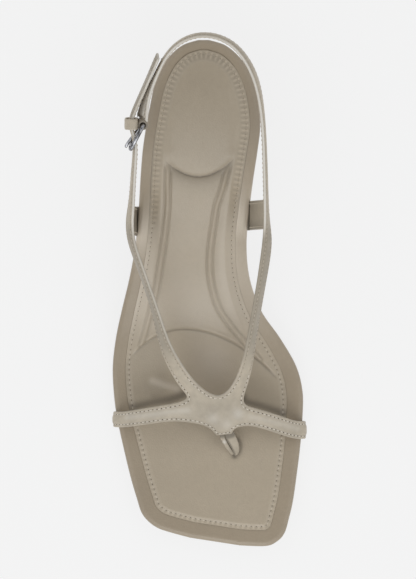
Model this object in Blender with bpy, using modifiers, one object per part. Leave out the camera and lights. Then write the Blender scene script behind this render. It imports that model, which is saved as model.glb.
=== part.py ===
"""Heeled thong sandal with a buckled sling strap, right shoe.

Tables are in millimetres: x runs to the big-toe side, y to the heel, z up from the floor.
The straps are one sheet drawn as a coarse cage of strap sections, subdivided and thickened.
"""
import math
from collections import namedtuple

import bpy
import numpy as np
from mathutils import Matrix, Vector

MM = 0.001
OBJECT_NAME = "heeled_sandal"

# Driving dimensions in millimetres.
CENTRE_X = 0.6
CENTRE_Y = -2.5
FOOTBED_THICKNESS = 5.0
OUTSOLE_THICKNESS = 2.2
OUTSOLE_INSET = 3.0
OUTSOLE_END_Y = 73.2
INSOLE_EDGE = 1.1
BALL_STATION = -46.0
BALL_RIM_SHIFT = 0.8
PIECE_GAP = 0.3
STRAP_THICKNESS = 1.5
TAB_WIDTH = 13.6
TOP_PIECE_HEIGHT = 5.0
WIRE_RADIUS = 0.9
PRONG_RADIUS = 0.7
BUCKLE_HEIGHT = 10.8
BUCKLE_REAR = Vector((-29.5, 75.6, 82.6))
BUCKLE_FRONT = Vector((-35.2, 65.0, 79.0))
BUCKLE_BAR = Vector((0.0, -0.34, 0.94))
EYE_WALL = 1.2
KEEPER_THICKNESS = 0.9
KEEPER_CENTRE = Vector((-35.1, 75.3, 82.7))
KEEPER_AXIS = Vector((0.0, 0.993, 0.119))
KEEPER_LOOP = (2.2, 1.85, 5.4)

# Ribs across the footbed from the heel to the square toe.
Rib = namedtuple("Rib", "lateral_x lateral_y medial_x medial_y")
FOOTBED_RIBS = [
    Rib(-4.5, 115.0, 0.5, 115.0),
    Rib(-11.5, 112.7, 7.7, 112.7),
    Rib(-17.3, 108.0, 13.7, 108.0),
    Rib(-21.3, 102.0, 18.2, 102.0),
    Rib(-24.7, 94.0, 21.5, 94.0),
    Rib(-26.9, 84.0, 23.5, 84.0),
    Rib(-28.7, 74.5, 24.1, 74.5),
    Rib(-30.3, 63.5, 22.8, 63.5),
    Rib(-31.4, 50.0, 20.8, 50.0),
    Rib(-32.4, 35.0, 19.0, 35.0),
    Rib(-34.0, 20.0, 18.0, 20.0),
    Rib(-36.9, 5.0, 19.6, 5.0),
    Rib(-40.6, -10.0, 25.0, -10.0),
    Rib(-43.4, -23.0, 34.0, -23.0),
    Rib(-44.9, -36.0, 41.5, -36.0),
    Rib(-44.5, -48.0, 44.6, -48.0),
    Rib(-43.0, -60.0, 44.6, -60.0),
    Rib(-40.0, -74.0, 43.5, -74.0),
    Rib(-36.5, -88.5, 41.7, -88.5),
    Rib(-33.4, -99.0, 40.0, -100.0),
    Rib(-31.4, -105.0, 38.1, -108.0),
    Rib(-28.4, -109.0, 36.0, -114.8),
    Rib(-24.0, -112.2, 32.3, -118.8),
    Rib(-18.5, -114.2, 27.0, -120.8),
    Rib(-8.5, -116.9, 15.0, -120.5),
]

# Height of the footbed's underside along the shoe: toe spring, flat tread, arch and heel seat.
Profile = namedtuple("Profile", "station height")
FEATHER_LINE = [
    Profile(-122.0, 7.0),
    Profile(-100.0, 3.9),
    Profile(-80.0, 2.5),
    Profile(-44.0, 2.5),
    Profile(-25.0, 4.9),
    Profile(0.0, 13.2),
    Profile(25.0, 25.4),
    Profile(50.0, 36.8),
    Profile(75.0, 44.6),
    Profile(95.0, 48.0),
    Profile(118.0, 49.6),
]

# Width of the bare rim between the footbed's edge and the insole.
Rim = namedtuple("Rim", "station width")
RIM_WIDTH = [
    Rim(-122.0, 7.6),
    Rim(-50.0, 7.0),
    Rim(-10.0, 6.0),
    Rim(30.0, 5.2),
    Rim(75.0, 4.8),
    Rim(116.0, 4.9),
]

# Wall of the footbed and of the outsole from below: how far in, how far up.
Level = namedtuple("Level", "inset rise")
FOOTBED_WALL = [
    Level(1.3, 0.0),
    Level(0.3, 0.6),
    Level(0.0, 1.7),
    Level(0.0, 3.2),
    Level(0.5, 4.3),
    Level(1.8, 5.0),
]
OUTSOLE_WALL = [Level(0.7, 0.0), Level(0.0, 0.6), Level(0.0, 1.7), Level(0.4, 2.2)]

# Heel sections from the seat down: where the widest line lies, and how far it reaches from there.
HeelSection = namedtuple("HeelSection", "drop centre_y half_width to_back to_breast")
HEEL_CENTRE_X = -2.0
HEEL_BACK_ROUNDING = 2.0
HEEL_BREAST_ROUNDING = 5.0
HEEL_SECTIONS = [
    HeelSection(0.0, 84.0, 24.2, 29.3, 10.5),
    HeelSection(0.12, 86.5, 21.2, 25.7, 10.8),
    HeelSection(0.3, 90.5, 17.2, 20.6, 11.2),
    HeelSection(0.5, 93.8, 14.2, 16.8, 11.0),
    HeelSection(0.74, 96.2, 12.3, 14.1, 10.6),
    HeelSection(1.0, 97.4, 11.6, 12.8, 10.4),
]

# Strap sections along each limb of the upper, mid thickness.
# The face leans from upright toward the heading, 0 degrees to the big-toe side and 90 to the heel.
# Climb is the rise of the section toward the heel, where it follows the slope of the sole.
Strap = namedtuple("Strap", "x y z width lean heading climb", defaults=[0.0])
PLATE_CORNERS = {
    "lateral_back": (-7.5, -51.0, 27.8),
    "lateral_front": (-0.5, -63.2, 23.6),
    "medial_front": (13.4, -64.4, 22.8),
    "medial_back": (14.8, -53.8, 27.2),
    "throat": (5.0, -52.3, 30.2),
}
LATERAL_ARM = [
    Strap(-15.2, -57.2, 26.0, 8.2, 18, 235),
    Strap(-24.0, -58.5, 23.6, 7.8, 27, 205),
    Strap(-33.0, -60.0, 19.2, 7.6, 42, 192),
    Strap(-39.6, -61.2, 13.8, 7.4, 60, 187),
]
MEDIAL_ARM = [
    Strap(21.0, -59.4, 24.8, 8.4, 22, 315),
    Strap(29.2, -61.9, 21.4, 8.2, 33, 335),
    Strap(36.6, -64.6, 16.6, 8.2, 47, 345),
    Strap(41.6, -66.2, 11.8, 8.4, 62, 350),
]
PLATE_TIP = [
    Strap(7.3, -66.2, 21.9, 9.2, 32, 270),
    Strap(7.6, -67.8, 20.6, 7.4, 42, 270),
]
LATERAL_STRAP = [
    Strap(-10.2, -44.4, 29.8, 8.0, 28, 180),
    Strap(-17.0, -32.8, 33.8, 8.0, 38, 180),
    Strap(-20.8, -23.6, 37.4, 8.0, 51, 180),
    Strap(-23.5, -13.0, 42.4, 8.0, 60, 180),
    Strap(-26.6, -3.0, 47.8, 8.0, 63, 180),
    Strap(-29.7, 6.0, 53.0, 8.0, 63, 180),
    Strap(-32.6, 14.2, 57.9, 8.0, 63, 180),
    Strap(-35.3, 22.0, 61.9, 8.0, 64, 180),
    Strap(-36.1, 30.5, 65.7, 8.0, 67, 180),
    Strap(-34.8, 39.0, 69.0, 8.0, 77, 180),
    Strap(-34.1, 51.0, 73.5, 8.0, 80, 178),
    Strap(-33.0, 62.0, 77.6, 8.0, 83, 177),
    Strap(-33.0, 68.6, 80.0, 8.0, 87, 186),
    Strap(-35.2, 74.4, 82.2, 8.0, 86, 183),
    Strap(-34.3, 79.1, 84.0, 8.0, 83, 160),
    Strap(-30.9, 86.5, 86.9, 8.0, 80, 154),
    Strap(-26.8, 95.4, 90.4, 8.0, 80, 155),
    Strap(-22.5, 105.4, 94.3, 7.4, 77, 155),
]
MEDIAL_STRAP = [
    Strap(15.8, -43.8, 30.2, 8.0, 38, 0),
    Strap(19.4, -29.5, 35.0, 8.0, 53, 0),
    Strap(21.6, -14.0, 42.6, 8.0, 57, 0),
    Strap(24.3, 1.0, 50.6, 8.0, 58, 0),
    Strap(26.2, 13.0, 57.2, 8.0, 54, 0),
    Strap(27.2, 21.6, 61.9, 8.0, 56, 0),
    Strap(26.9, 29.8, 65.6, 8.0, 76, 0),
    Strap(26.5, 40.0, 69.6, 8.0, 82, 2),
    Strap(25.9, 58.0, 76.2, 8.0, 83, 3),
    Strap(25.1, 76.0, 82.9, 8.0, 83, 11),
    Strap(23.1, 91.7, 88.6, 8.0, 72, 24),
    Strap(18.4, 102.8, 92.8, 8.0, 70, 43),
    Strap(11.2, 111.4, 95.9, 8.0, 74, 64),
    Strap(0.9, 115.3, 97.3, 8.0, 79, 84),
    Strap(-9.8, 113.9, 96.7, 8.0, 80, 106),
    Strap(-18.1, 107.3, 94.4, 8.0, 81, 131),
    Strap(-23.2, 97.4, 90.9, 8.0, 79, 148),
    Strap(-27.0, 89.0, 87.9, 8.0, 74, 160),
    Strap(-29.0, 82.4, 85.3, 8.0, 60, 170),
    Strap(-29.8, 77.4, 83.3, 8.0, 51, 172),
]
LATERAL_TAB = [
    Strap(-34.9, 32.0, 67.0, TAB_WIDTH, 88, 180),
    Strap(-35.0, 32.0, 60.0, TAB_WIDTH, 89, 180),
    Strap(-34.7, 31.9, 50.0, TAB_WIDTH, 91, 180),
    Strap(-34.2, 31.8, 40.0, TAB_WIDTH, 91, 180),
]
MEDIAL_TAB = [
    Strap(26.3, 34.4, 68.0, TAB_WIDTH, 98, 0),
    Strap(25.6, 34.4, 62.0, TAB_WIDTH, 100, 0),
    Strap(23.6, 34.4, 52.0, TAB_WIDTH, 101, 0),
    Strap(21.3, 34.4, 41.0, TAB_WIDTH, 101, 0),
]

# Toe post from under the plate tip into the footbed: centre and half sizes of its oval.
Post = namedtuple("Post", "x y z across along turn")
TOE_POST = [
    Post(8.6, -65.4, 21.7, 3.6, 1.2, 0),
    Post(9.7, -67.8, 19.0, 4.1, 1.4, 10),
    Post(10.9, -71.2, 15.6, 4.1, 1.7, 20),
    Post(11.9, -74.6, 12.2, 3.2, 1.9, 28),
    Post(12.6, -76.9, 9.2, 2.2, 1.9, 32),
    Post(12.8, -77.5, 5.0, 2.0, 1.9, 32),
]


def clear_file():
    for item in list(bpy.data.objects):
        bpy.data.objects.remove(item, do_unlink=True)


def new_collection(name):
    made = bpy.data.collections.new(name)
    bpy.context.scene.collection.children.link(made)
    return made


def new_material(name, colour, roughness, metallic=0.0):
    made = bpy.data.materials.new(name)
    made.use_nodes = True
    shader = made.node_tree.nodes["Principled BSDF"]
    shader.inputs["Base Color"].default_value = (*colour, 1.0)
    shader.inputs["Roughness"].default_value = roughness
    shader.inputs["Metallic"].default_value = metallic
    return made


def new_object(name, points, faces, collection, material=None):
    """A mesh object from points in millimetres, moved so that the shoe's box is centred."""
    mesh = bpy.data.meshes.new(name)
    shifted = [((x - CENTRE_X) * MM, (y - CENTRE_Y) * MM, z * MM) for x, y, z in points]
    mesh.from_pydata(shifted, [], faces)
    mesh.validate()
    made = bpy.data.objects.new(name, mesh)
    collection.objects.link(made)
    if material is not None:
        mesh.materials.append(material)
    return made


def new_cutter(name, points, faces, collection):
    made = new_object(name, points, faces, collection)
    made.hide_render = True
    made.display_type = "WIRE"
    return made


def add_boolean(target, tool, operation):
    step = target.modifiers.new(tool.name, "BOOLEAN")
    step.object = tool
    step.operation = operation
    step.solver = "EXACT"


def add_sheet_steps(target, thickness, levels):
    """Subdivide a strap cage and give it its leather thickness on both sides of the sheet."""
    smooth = target.modifiers.new("smooth", "SUBSURF")
    smooth.levels = levels
    smooth.render_levels = levels
    smooth.boundary_smooth = "PRESERVE_CORNERS"
    wall = target.modifiers.new("wall", "SOLIDIFY")
    wall.thickness = thickness * MM
    wall.offset = 0.0
    wall.use_even_offset = True


def read_curve(table, at):
    """A curve without overshoot through a two-column table, read at one place or many."""
    rows = np.array(table, dtype=float)
    place, value = rows[:, 0], rows[:, 1]
    step = np.diff(place)
    slope = np.diff(value) / step
    tangent = np.zeros(len(place))
    tangent[0], tangent[-1] = slope[0], slope[-1]
    for k in range(1, len(place) - 1):
        if slope[k - 1] * slope[k] > 0:
            tangent[k] = 2 * slope[k - 1] * slope[k] / (slope[k - 1] + slope[k])
    at = np.asarray(at, dtype=float)
    k = np.clip(np.searchsorted(place, at) - 1, 0, len(step) - 1)
    t = np.clip((at - place[k]) / step[k], 0.0, 1.0)
    rising = value[k] * (1 + 2 * t) * (1 - t) ** 2 + value[k + 1] * t * t * (3 - 2 * t)
    bending = tangent[k] * t * (1 - t) ** 2 + tangent[k + 1] * t * t * (t - 1)
    return rising + step[k] * bending


def feather(y):
    return read_curve(FEATHER_LINE, y)


def smooth_rows(table, steps):
    """Rows of a table with a smooth curve through every column, some steps to each row."""
    rows = np.array(table, dtype=float)
    count = len(rows)
    made = []
    for k in range(count - 1):
        before, here = rows[max(k - 1, 0)], rows[k]
        ahead, beyond = rows[k + 1], rows[min(k + 2, count - 1)]
        for s in range(steps):
            t = s / steps
            bend = (ahead - before) * t + (2 * before - 5 * here + 4 * ahead - beyond) * t * t
            bend = bend + (3 * here - 3 * ahead + beyond - before) * t ** 3
            made.append(here + 0.5 * bend)
    made.append(rows[-1])
    return np.array(made)


def sole_ring(ribs, inset):
    """The outline of the sole as one ring, moved inward square to its edge."""
    ring = np.vstack([ribs[:, 0:2], ribs[::-1, 2:4]])
    along = np.roll(ring, -1, axis=0) - np.roll(ring, 1, axis=0)
    along = along / np.linalg.norm(along, axis=1)[:, None]
    inward = np.stack([-along[:, 1], along[:, 0]], axis=1)
    return ring + inward * np.asarray(inset).reshape(-1, 1)


def ring_walls(first, count, levels):
    """Quads between rings of points stored one after another."""
    faces = []
    for level in range(levels - 1):
        low = first + level * count
        for k in range(count):
            nxt = (k + 1) % count
            faces.append((low + k, low + nxt, low + count + nxt, low + count + k))
    return faces


def rib_cap(first, count, facing_up):
    """Quads across one ring from rib to rib."""
    faces = []
    for k in range(count // 2 - 1):
        quad = (first + k, first + k + 1, first + count - 2 - k, first + count - 1 - k)
        faces.append(quad if facing_up else quad[::-1])
    return faces


def layered_sole(ribs, wall, base):
    """A sole layer: rings up its wall with the underside and top closed from rib to rib."""
    points = []
    for level in wall:
        ring = sole_ring(ribs, level.inset)
        height = base(ring[:, 1]) + level.rise
        points.extend((x, y, z) for (x, y), z in zip(ring, height))
    count = 2 * len(ribs)
    faces = ring_walls(0, count, len(wall))
    faces += rib_cap(0, count, False)
    faces += rib_cap((len(wall) - 1) * count, count, True)
    return points, faces


def loft(rings):
    """A closed solid through rings that all have the same number of points."""
    count = len(rings[0])
    points = [tuple(p) for ring in rings for p in ring]
    faces = ring_walls(0, count, len(rings))
    faces.append(tuple(range(count))[::-1])
    top = (len(rings) - 1) * count
    faces.append(tuple(range(top, top + count)))
    return points, faces


def oval(half_width, half_length, squareness, count):
    """Points of a rounded oval; squareness 2 is an ellipse, more is boxier."""
    made = []
    for k in range(count):
        angle = 2 * math.pi * k / count
        c, s = math.cos(angle), math.sin(angle)
        x = math.copysign(abs(c) ** (2 / squareness), c) * half_width
        y = math.copysign(abs(s) ** (2 / squareness), s) * half_length
        made.append((x, y))
    return made


def tube(path, radius, sides, closed):
    """A round wire along a path of points."""
    path = [Vector(p) for p in path]
    count = len(path)
    rings = []
    side = None
    for k, p in enumerate(path):
        before = path[k - 1] if closed or k else p
        after = path[(k + 1) % count] if closed or k < count - 1 else p
        along = (after - before).normalized()
        if side is None:
            side = along.orthogonal().normalized()
        side = (side - along * side.dot(along)).normalized()
        up = along.cross(side)
        turns = [2 * math.pi * s / sides for s in range(sides)]
        rings.append([p + (side * math.cos(a) + up * math.sin(a)) * radius for a in turns])
    if not closed:
        return loft(rings)
    points = [tuple(p) for ring in rings for p in ring]
    faces = []
    for k in range(count):
        low, high = k * sides, ((k + 1) % count) * sides
        for s in range(sides):
            nxt = (s + 1) % sides
            faces.append((low + s, low + nxt, high + nxt, high + s))
    return points, faces


def strap_edges(rows, spread=0.0):
    """Both edges of a strap at every section: (plus side, minus side)."""
    centres = [Vector((r.x, r.y, r.z)) for r in rows]
    edges = []
    for k, row in enumerate(rows):
        ahead = centres[min(k + 1, len(rows) - 1)]
        behind = centres[max(k - 1, 0)]
        along = (ahead - behind).normalized()
        lean, heading = math.radians(row.lean), math.radians(row.heading)
        face = Vector((
            math.sin(lean) * math.cos(heading),
            math.sin(lean) * math.sin(heading),
            math.cos(lean),
        ))
        across = along.cross(face).normalized() * (0.5 * row.width + spread)
        across.z += row.climb * across.y
        edges.append((centres[k] + across, centres[k] - across))
    return edges


def edge_x(side, y):
    """Where the footbed's edge lies at a station: side -1 lateral, +1 medial."""
    ribs = smooth_rows(FOOTBED_RIBS, 4)
    column = 0 if side < 0 else 2
    order = np.argsort(ribs[:, column + 1])
    return float(np.interp(y, ribs[order, column + 1], ribs[order, column]))


def tucked(rows, side):
    """A strap's sections carried on down the footbed's edge and under it."""
    last = rows[-1]
    x, low = edge_x(side, last.y), float(feather(last.y))
    out = side * (PIECE_GAP + 0.5 * STRAP_THICKNESS)
    under = low + PIECE_GAP + 0.5 * STRAP_THICKNESS
    heading = 0 if side > 0 else 180
    climb = float(feather(last.y + 1.0) - feather(last.y - 1.0)) / 2.0
    wall = [
        (x + out, low + FOOTBED_THICKNESS + 0.8, 86),
        (x + out + side * 0.3, low + 3.0, 92),
        (x + out - side * 0.2, low + 0.9, 125),
        (x - side * 2.6, under - 0.3, 170),
        (x - side * 6.0, under, 180),
        (x - side * 9.5, under, 180),
    ]
    return rows + [Strap(a, last.y, b, last.width, lean, heading, climb) for a, b, lean in wall]


def strip_cage(rows, spread=0.0):
    """A strap on its own as a strip of quads."""
    edges = strap_edges(rows, spread)
    points = [tuple(p) for pair in edges for p in pair]
    faces = [(2 * k, 2 * k + 2, 2 * k + 3, 2 * k + 1) for k in range(len(rows) - 1)]
    return points, faces


def upper_cage():
    """The plate as a five-sided patch with a limb of strap sections from each side."""
    names = ["lateral_back", "lateral_front", "medial_front", "medial_back", "throat"]
    points = [PLATE_CORNERS[n] for n in names]
    faces = [(0, 1, 2, 3, 4)]
    limbs = [
        (tucked(LATERAL_ARM, -1), 0, 1),
        (PLATE_TIP, 1, 2),
        (tucked(MEDIAL_ARM, 1), 2, 3),
        (MEDIAL_STRAP, 3, 4),
        (LATERAL_STRAP, 4, 0),
    ]
    for rows, plus, minus in limbs:
        for high, low in strap_edges(rows):
            first = len(points)
            points.extend([tuple(high), tuple(low)])
            faces.append((plus, first, first + 1, minus))
            plus, minus = first, first + 1
    return points, faces


def ridge(distance, half_width):
    """1 on a line, falling smoothly to 0 at the half width."""
    return max(0.0, 1.0 - (distance / half_width) ** 2) ** 2


def insole_relief(x, y):
    """Height of the padding over the flat sock: arch pad, heel pad and the crease between."""
    arc_y = -18.3 - (0.022 if x < -12.0 else 0.0115) * (x + 12.0) ** 2
    behind = min(max((y - arc_y) / 3.0 + 0.5, 0.0), 1.0)
    pad = 1.2 * behind * behind * (3.0 - 2.0 * behind)
    crease_y = 52.4 + 0.037 * (x + 4.0) ** 2
    pad -= 1.1 * ridge(y - crease_y, 4.0) * ridge(x + 4.0, 20.0)
    dome = ridge(math.hypot((x + 3.0) / 19.0, (y - 82.0) / 28.0), 1.0)
    return pad + 0.3 * ridge(y - 62.0, 9.0) + 0.9 * dome


def build_insole(collection, material):
    ribs = smooth_rows(FOOTBED_RIBS, 2)
    outline = sole_ring(ribs, 0.0)
    # The rim shows more on the inner side of the ball than on the outer.
    shift = BALL_RIM_SHIFT * np.exp(-np.square((outline[:, 1] - BALL_STATION) / 24.0))
    inset = read_curve(RIM_WIDTH, outline[:, 1]) + np.sign(outline[:, 0]) * shift
    count, half = len(outline), len(ribs)
    points = []
    base = FOOTBED_THICKNESS + PIECE_GAP
    for extra, rise in [(0.0, 0.0), (0.0, 0.5), (0.9, INSOLE_EDGE)]:
        ring = sole_ring(ribs, inset + extra)
        height = feather(ring[:, 1]) + base + rise
        points.extend((x, y, z) for (x, y), z in zip(ring, height))
    faces = ring_walls(0, count, 3) + rib_cap(0, count, False)
    columns = 9
    rim = points[2 * count:]
    grid = []
    for k in range(1, half - 1):
        lateral, medial = Vector(rim[k]), Vector(rim[count - 1 - k])
        row = [2 * count + k]
        for c in range(1, columns):
            p = lateral.lerp(medial, c / columns)
            edge = min(c, columns - c, 2) / 2
            row.append(len(points))
            points.append((p.x, p.y, p.z + edge * insole_relief(p.x, p.y)))
        row.append(2 * count + count - 1 - k)
        grid.append(row)
    for near, far in zip(grid[:-1], grid[1:]):
        for c in range(columns):
            faces.append((near[c], far[c], far[c + 1], near[c + 1]))
    heel_end, toe_end = 2 * count, 2 * count + half - 1
    faces.append((heel_end, *grid[0], heel_end + count - 1))
    faces.append((toe_end + 1, *grid[-1][::-1], toe_end))
    return new_object("insole", points, faces, collection, material)


def outsole_ribs():
    """Ribs of the outsole: the footbed's ribs moved inward, from the heel breast to the toe."""
    ribs = smooth_rows(FOOTBED_RIBS, 2)
    ring = sole_ring(ribs, OUTSOLE_INSET)
    half = len(ribs)
    ribs = np.hstack([ring[:half], ring[:half - 1:-1]])
    k = int(np.argmax(ribs[:, 1] < OUTSOLE_END_Y))
    part = (ribs[k - 1, 1] - OUTSOLE_END_Y) / (ribs[k - 1, 1] - ribs[k, 1])
    end = ribs[k - 1] + (ribs[k] - ribs[k - 1]) * part
    return np.vstack([end, ribs[k:]])


def build_sole(parts, cutters, leather, rubber):
    ribs = smooth_rows(FOOTBED_RIBS, 2)
    points, faces = layered_sole(ribs, FOOTBED_WALL, feather)
    footbed = new_object("footbed", points, faces, parts, leather)
    for name, rows, side, levels in [
        ("lateral_arm_slot", tucked(LATERAL_ARM[-2:], -1), -1, 2),
        ("medial_arm_slot", tucked(MEDIAL_ARM[-2:], 1), 1, 2),
        ("lateral_tab_slot", tucked(LATERAL_TAB[-2:], -1), -1, 1),
        ("medial_tab_slot", tucked(MEDIAL_TAB[-2:], 1), 1, 1),
    ]:
        last = rows[-1]
        longer = rows + [last._replace(x=last.x - side * 0.6)]
        points, faces = strip_cage(longer, spread=PIECE_GAP)
        slot = new_cutter(name, points, faces, cutters)
        add_sheet_steps(slot, STRAP_THICKNESS + 2 * PIECE_GAP, levels)
        add_boolean(footbed, slot, "DIFFERENCE")

    under = PIECE_GAP + OUTSOLE_THICKNESS
    points, faces = layered_sole(outsole_ribs(), OUTSOLE_WALL, lambda y: feather(y) - under)
    new_object("outsole", points, faces, parts, rubber)


def heel_outline(section, inset):
    """One heel section in plan: round at the back, nearly straight across the breast."""
    width = section.half_width - inset
    back = oval(width, section.to_back - inset, HEEL_BACK_ROUNDING, 32)
    breast = oval(width, section.to_breast - inset, HEEL_BREAST_ROUNDING, 32)
    points = [a if a[1] >= 0.0 else b for a, b in zip(back, breast)]
    return [(HEEL_CENTRE_X + x, section.centre_y + y) for x, y in points]


def build_heel(parts, leather, rubber):
    """A covered heel from the seat to the tip, and the rubber piece below it."""
    rings = []
    foot = TOP_PIECE_HEIGHT + PIECE_GAP
    for row in smooth_rows(HEEL_SECTIONS, 2)[::-1]:
        section = HeelSection(*row)
        ring = []
        for x, y in heel_outline(section, 0.0):
            seat = float(feather(y)) - PIECE_GAP
            ring.append((x, y, foot + (seat - foot) * (1.0 - section.drop)))
        rings.append(ring)
    points, faces = loft(rings)
    new_object("heel", points, faces, parts, leather)

    rings = []
    for inset, z in [(0.5, 0.0), (0.1, 0.5), (0.1, TOP_PIECE_HEIGHT)]:
        rings.append([(x, y, z) for x, y in heel_outline(HEEL_SECTIONS[-1], inset)])
    points, faces = loft(rings)
    new_object("heel_top_piece", points, faces, parts, rubber)


def post_rings(grow):
    rings = []
    for row in smooth_rows(TOE_POST, 2)[::-1]:
        x, y, z, across, along, turn = row
        spin = Matrix.Rotation(math.radians(turn), 3, "Z")
        outline = oval(across + grow, along + grow, 2.0, 14)
        centre = Vector((x, y, z if rings else z - grow))
        rings.append([spin @ Vector((a, b, 0.0)) + centre for a, b in outline])
    return rings


def buckle_axes():
    """Along the buckle to its front, up its bars, and out of its face."""
    along = (BUCKLE_FRONT - BUCKLE_REAR).normalized()
    up = (BUCKLE_BAR - along * BUCKLE_BAR.dot(along)).normalized()
    return along, up, along.cross(up)


def bar_cylinder(radius, length, shift=0.0):
    """A cylinder on the buckle's rear bar."""
    along, up, out = buckle_axes()
    rings = []
    for end in (-0.5, 0.5):
        centre = BUCKLE_REAR + up * (end * length + shift)
        ring = [centre + along * a + out * b for a, b in oval(radius, radius, 2.0, 20)]
        rings.append(ring[::-1])
    return loft(rings)


def prong_path():
    """From the ring on the rear bar, through the strap, to rest on the front bar."""
    along, up, out = buckle_axes()
    out = out if out.x < 0 else -out
    reach = WIRE_RADIUS + PIECE_GAP + PRONG_RADIUS
    length = (BUCKLE_FRONT - BUCKLE_REAR).length
    path = [BUCKLE_REAR + along * reach]
    for part, lift in [(0.35, 0.3), (0.7, 0.75), (1.0, 1.0)]:
        path.append(BUCKLE_REAR + along * (length * part) + out * (reach * lift))
    path.append(BUCKLE_FRONT + along * 1.4 + out * (reach - 0.3))
    return path


def build_buckle(parts, cutters, metal):
    along, up, out = buckle_axes()
    length = (BUCKLE_FRONT - BUCKLE_REAR).length
    middle = (BUCKLE_FRONT + BUCKLE_REAR) * 0.5
    corner = 1.6
    path = []
    for quarter in range(4):
        sx = 1 if quarter in (0, 3) else -1
        sy = 1 if quarter in (0, 1) else -1
        centre_a = sx * (0.5 * length - corner)
        centre_b = sy * (0.5 * BUCKLE_HEIGHT - corner)
        for k in range(4):
            angle = math.radians(90 * quarter + 30 * k)
            a = centre_a + corner * math.cos(angle)
            b = centre_b + corner * math.sin(angle)
            path.append(middle + along * a + up * b)
    points, faces = tube(path, WIRE_RADIUS, 10, True)
    new_object("buckle_frame", points, faces, parts, metal)
    points, faces = tube(prong_path(), PRONG_RADIUS, 8, False)
    prong = new_object("buckle_prong", points, faces, parts, metal)
    points, faces = bar_cylinder(WIRE_RADIUS + PIECE_GAP + 1.4 * PRONG_RADIUS, 2 * PRONG_RADIUS)
    ring = new_cutter("prong_ring", points, faces, cutters)
    add_boolean(prong, ring, "UNION")
    add_boolean(prong, bpy.data.objects["eye_bore"], "DIFFERENCE")


def build_keeper(parts, leather):
    """A leather loop round the free end of the strap."""
    along = KEEPER_AXIS.normalized()
    out = Vector((-1.0, 0.0, 0.0))
    up = along.cross(out)
    half_length, half_gap, half_height = KEEPER_LOOP
    rings = []
    for grow, end in [(0.0, -1), (KEEPER_THICKNESS, -1), (KEEPER_THICKNESS, 1), (0.0, 1)]:
        ring = []
        for a, b in oval(half_gap + grow, half_height + grow, 4.0, 24):
            ring.append(KEEPER_CENTRE + out * a + up * b + along * (end * half_length))
        rings.append(ring)
    count = len(rings[0])
    points = [tuple(p) for ring in rings for p in ring]
    faces = ring_walls(0, count, 4)
    last = 3 * count
    for k in range(count):
        nxt = (k + 1) % count
        faces.append((last + k, last + nxt, nxt, k))
    new_object("strap_keeper", points, faces, parts, leather)


def build_upper(parts, cutters, leather):
    points, faces = upper_cage()
    upper = new_object("upper", points, faces, parts, leather)
    add_sheet_steps(upper, STRAP_THICKNESS, 2)
    for name, rows, side in [
        ("lateral_tab", LATERAL_TAB, -1),
        ("medial_tab", MEDIAL_TAB, 1),
    ]:
        points, faces = strip_cage(tucked(rows, side))
        tab = new_cutter(name, points, faces, cutters)
        add_sheet_steps(tab, STRAP_THICKNESS, 1)
        add_boolean(upper, tab, "UNION")
    points, faces = loft(post_rings(0.0))
    post = new_cutter("toe_post", points, faces, cutters)
    add_boolean(upper, post, "UNION")
    points, faces = bar_cylinder(WIRE_RADIUS + PIECE_GAP + EYE_WALL, 7.8)
    eye = new_cutter("sling_eye", points, faces, cutters)
    add_boolean(upper, eye, "UNION")
    points, faces = bar_cylinder(WIRE_RADIUS + PIECE_GAP, 12.0)
    bore = new_cutter("eye_bore", points, faces, cutters)
    add_boolean(upper, bore, "DIFFERENCE")
    slot_radius = WIRE_RADIUS + 2 * PIECE_GAP + 1.4 * PRONG_RADIUS
    points, faces = bar_cylinder(slot_radius, 2 * PRONG_RADIUS + 2 * PIECE_GAP)
    slot = new_cutter("prong_slot", points, faces, cutters)
    add_boolean(upper, slot, "DIFFERENCE")
    points, faces = tube(prong_path(), PRONG_RADIUS + PIECE_GAP, 10, False)
    hole = new_cutter("prong_hole", points, faces, cutters)
    add_boolean(upper, hole, "DIFFERENCE")


def cut_post_hole(cutters):
    points, faces = loft(post_rings(PIECE_GAP))
    hole = new_cutter("toe_post_hole", points, faces, cutters)
    add_boolean(bpy.data.objects["insole"], hole, "DIFFERENCE")
    add_boolean(bpy.data.objects["footbed"], hole, "DIFFERENCE")


def main():
    clear_file()
    parts = new_collection(OBJECT_NAME)
    cutters = new_collection("cutters")
    rim_leather = new_material("footbed_leather", (0.30, 0.25, 0.19), 0.55)
    sock_leather = new_material("insole_leather", (0.36, 0.31, 0.24), 0.5)
    strap_leather = new_material("upper_leather", (0.38, 0.33, 0.26), 0.5)
    keeper_leather = new_material("keeper_leather", (0.38, 0.33, 0.26), 0.5)
    heel_leather = new_material("heel_leather", (0.30, 0.25, 0.19), 0.5)
    sole_rubber = new_material("outsole_rubber", (0.20, 0.16, 0.12), 0.6)
    tip_rubber = new_material("top_piece_rubber", (0.10, 0.08, 0.07), 0.7)
    metal = new_material("buckle_metal", (0.75, 0.75, 0.76), 0.25, 1.0)
    build_sole(parts, cutters, rim_leather, sole_rubber)
    build_insole(parts, sock_leather)
    build_heel(parts, heel_leather, tip_rubber)
    build_upper(parts, cutters, strap_leather)
    cut_post_hole(cutters)
    build_keeper(parts, keeper_leather)
    build_buckle(parts, cutters, metal)


main()
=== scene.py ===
"""Looks of a heeled thong sandal with a buckled sling strap, right shoe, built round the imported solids.

Tables are in millimetres and repeat those of the solids: x runs to the big-toe side, y to the heel, z up.
"""
import math
from collections import namedtuple

import bmesh
import bpy
import numpy as np
from mathutils import Matrix, Vector
from mathutils.bvhtree import BVHTree
from mathutils.kdtree import KDTree


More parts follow.
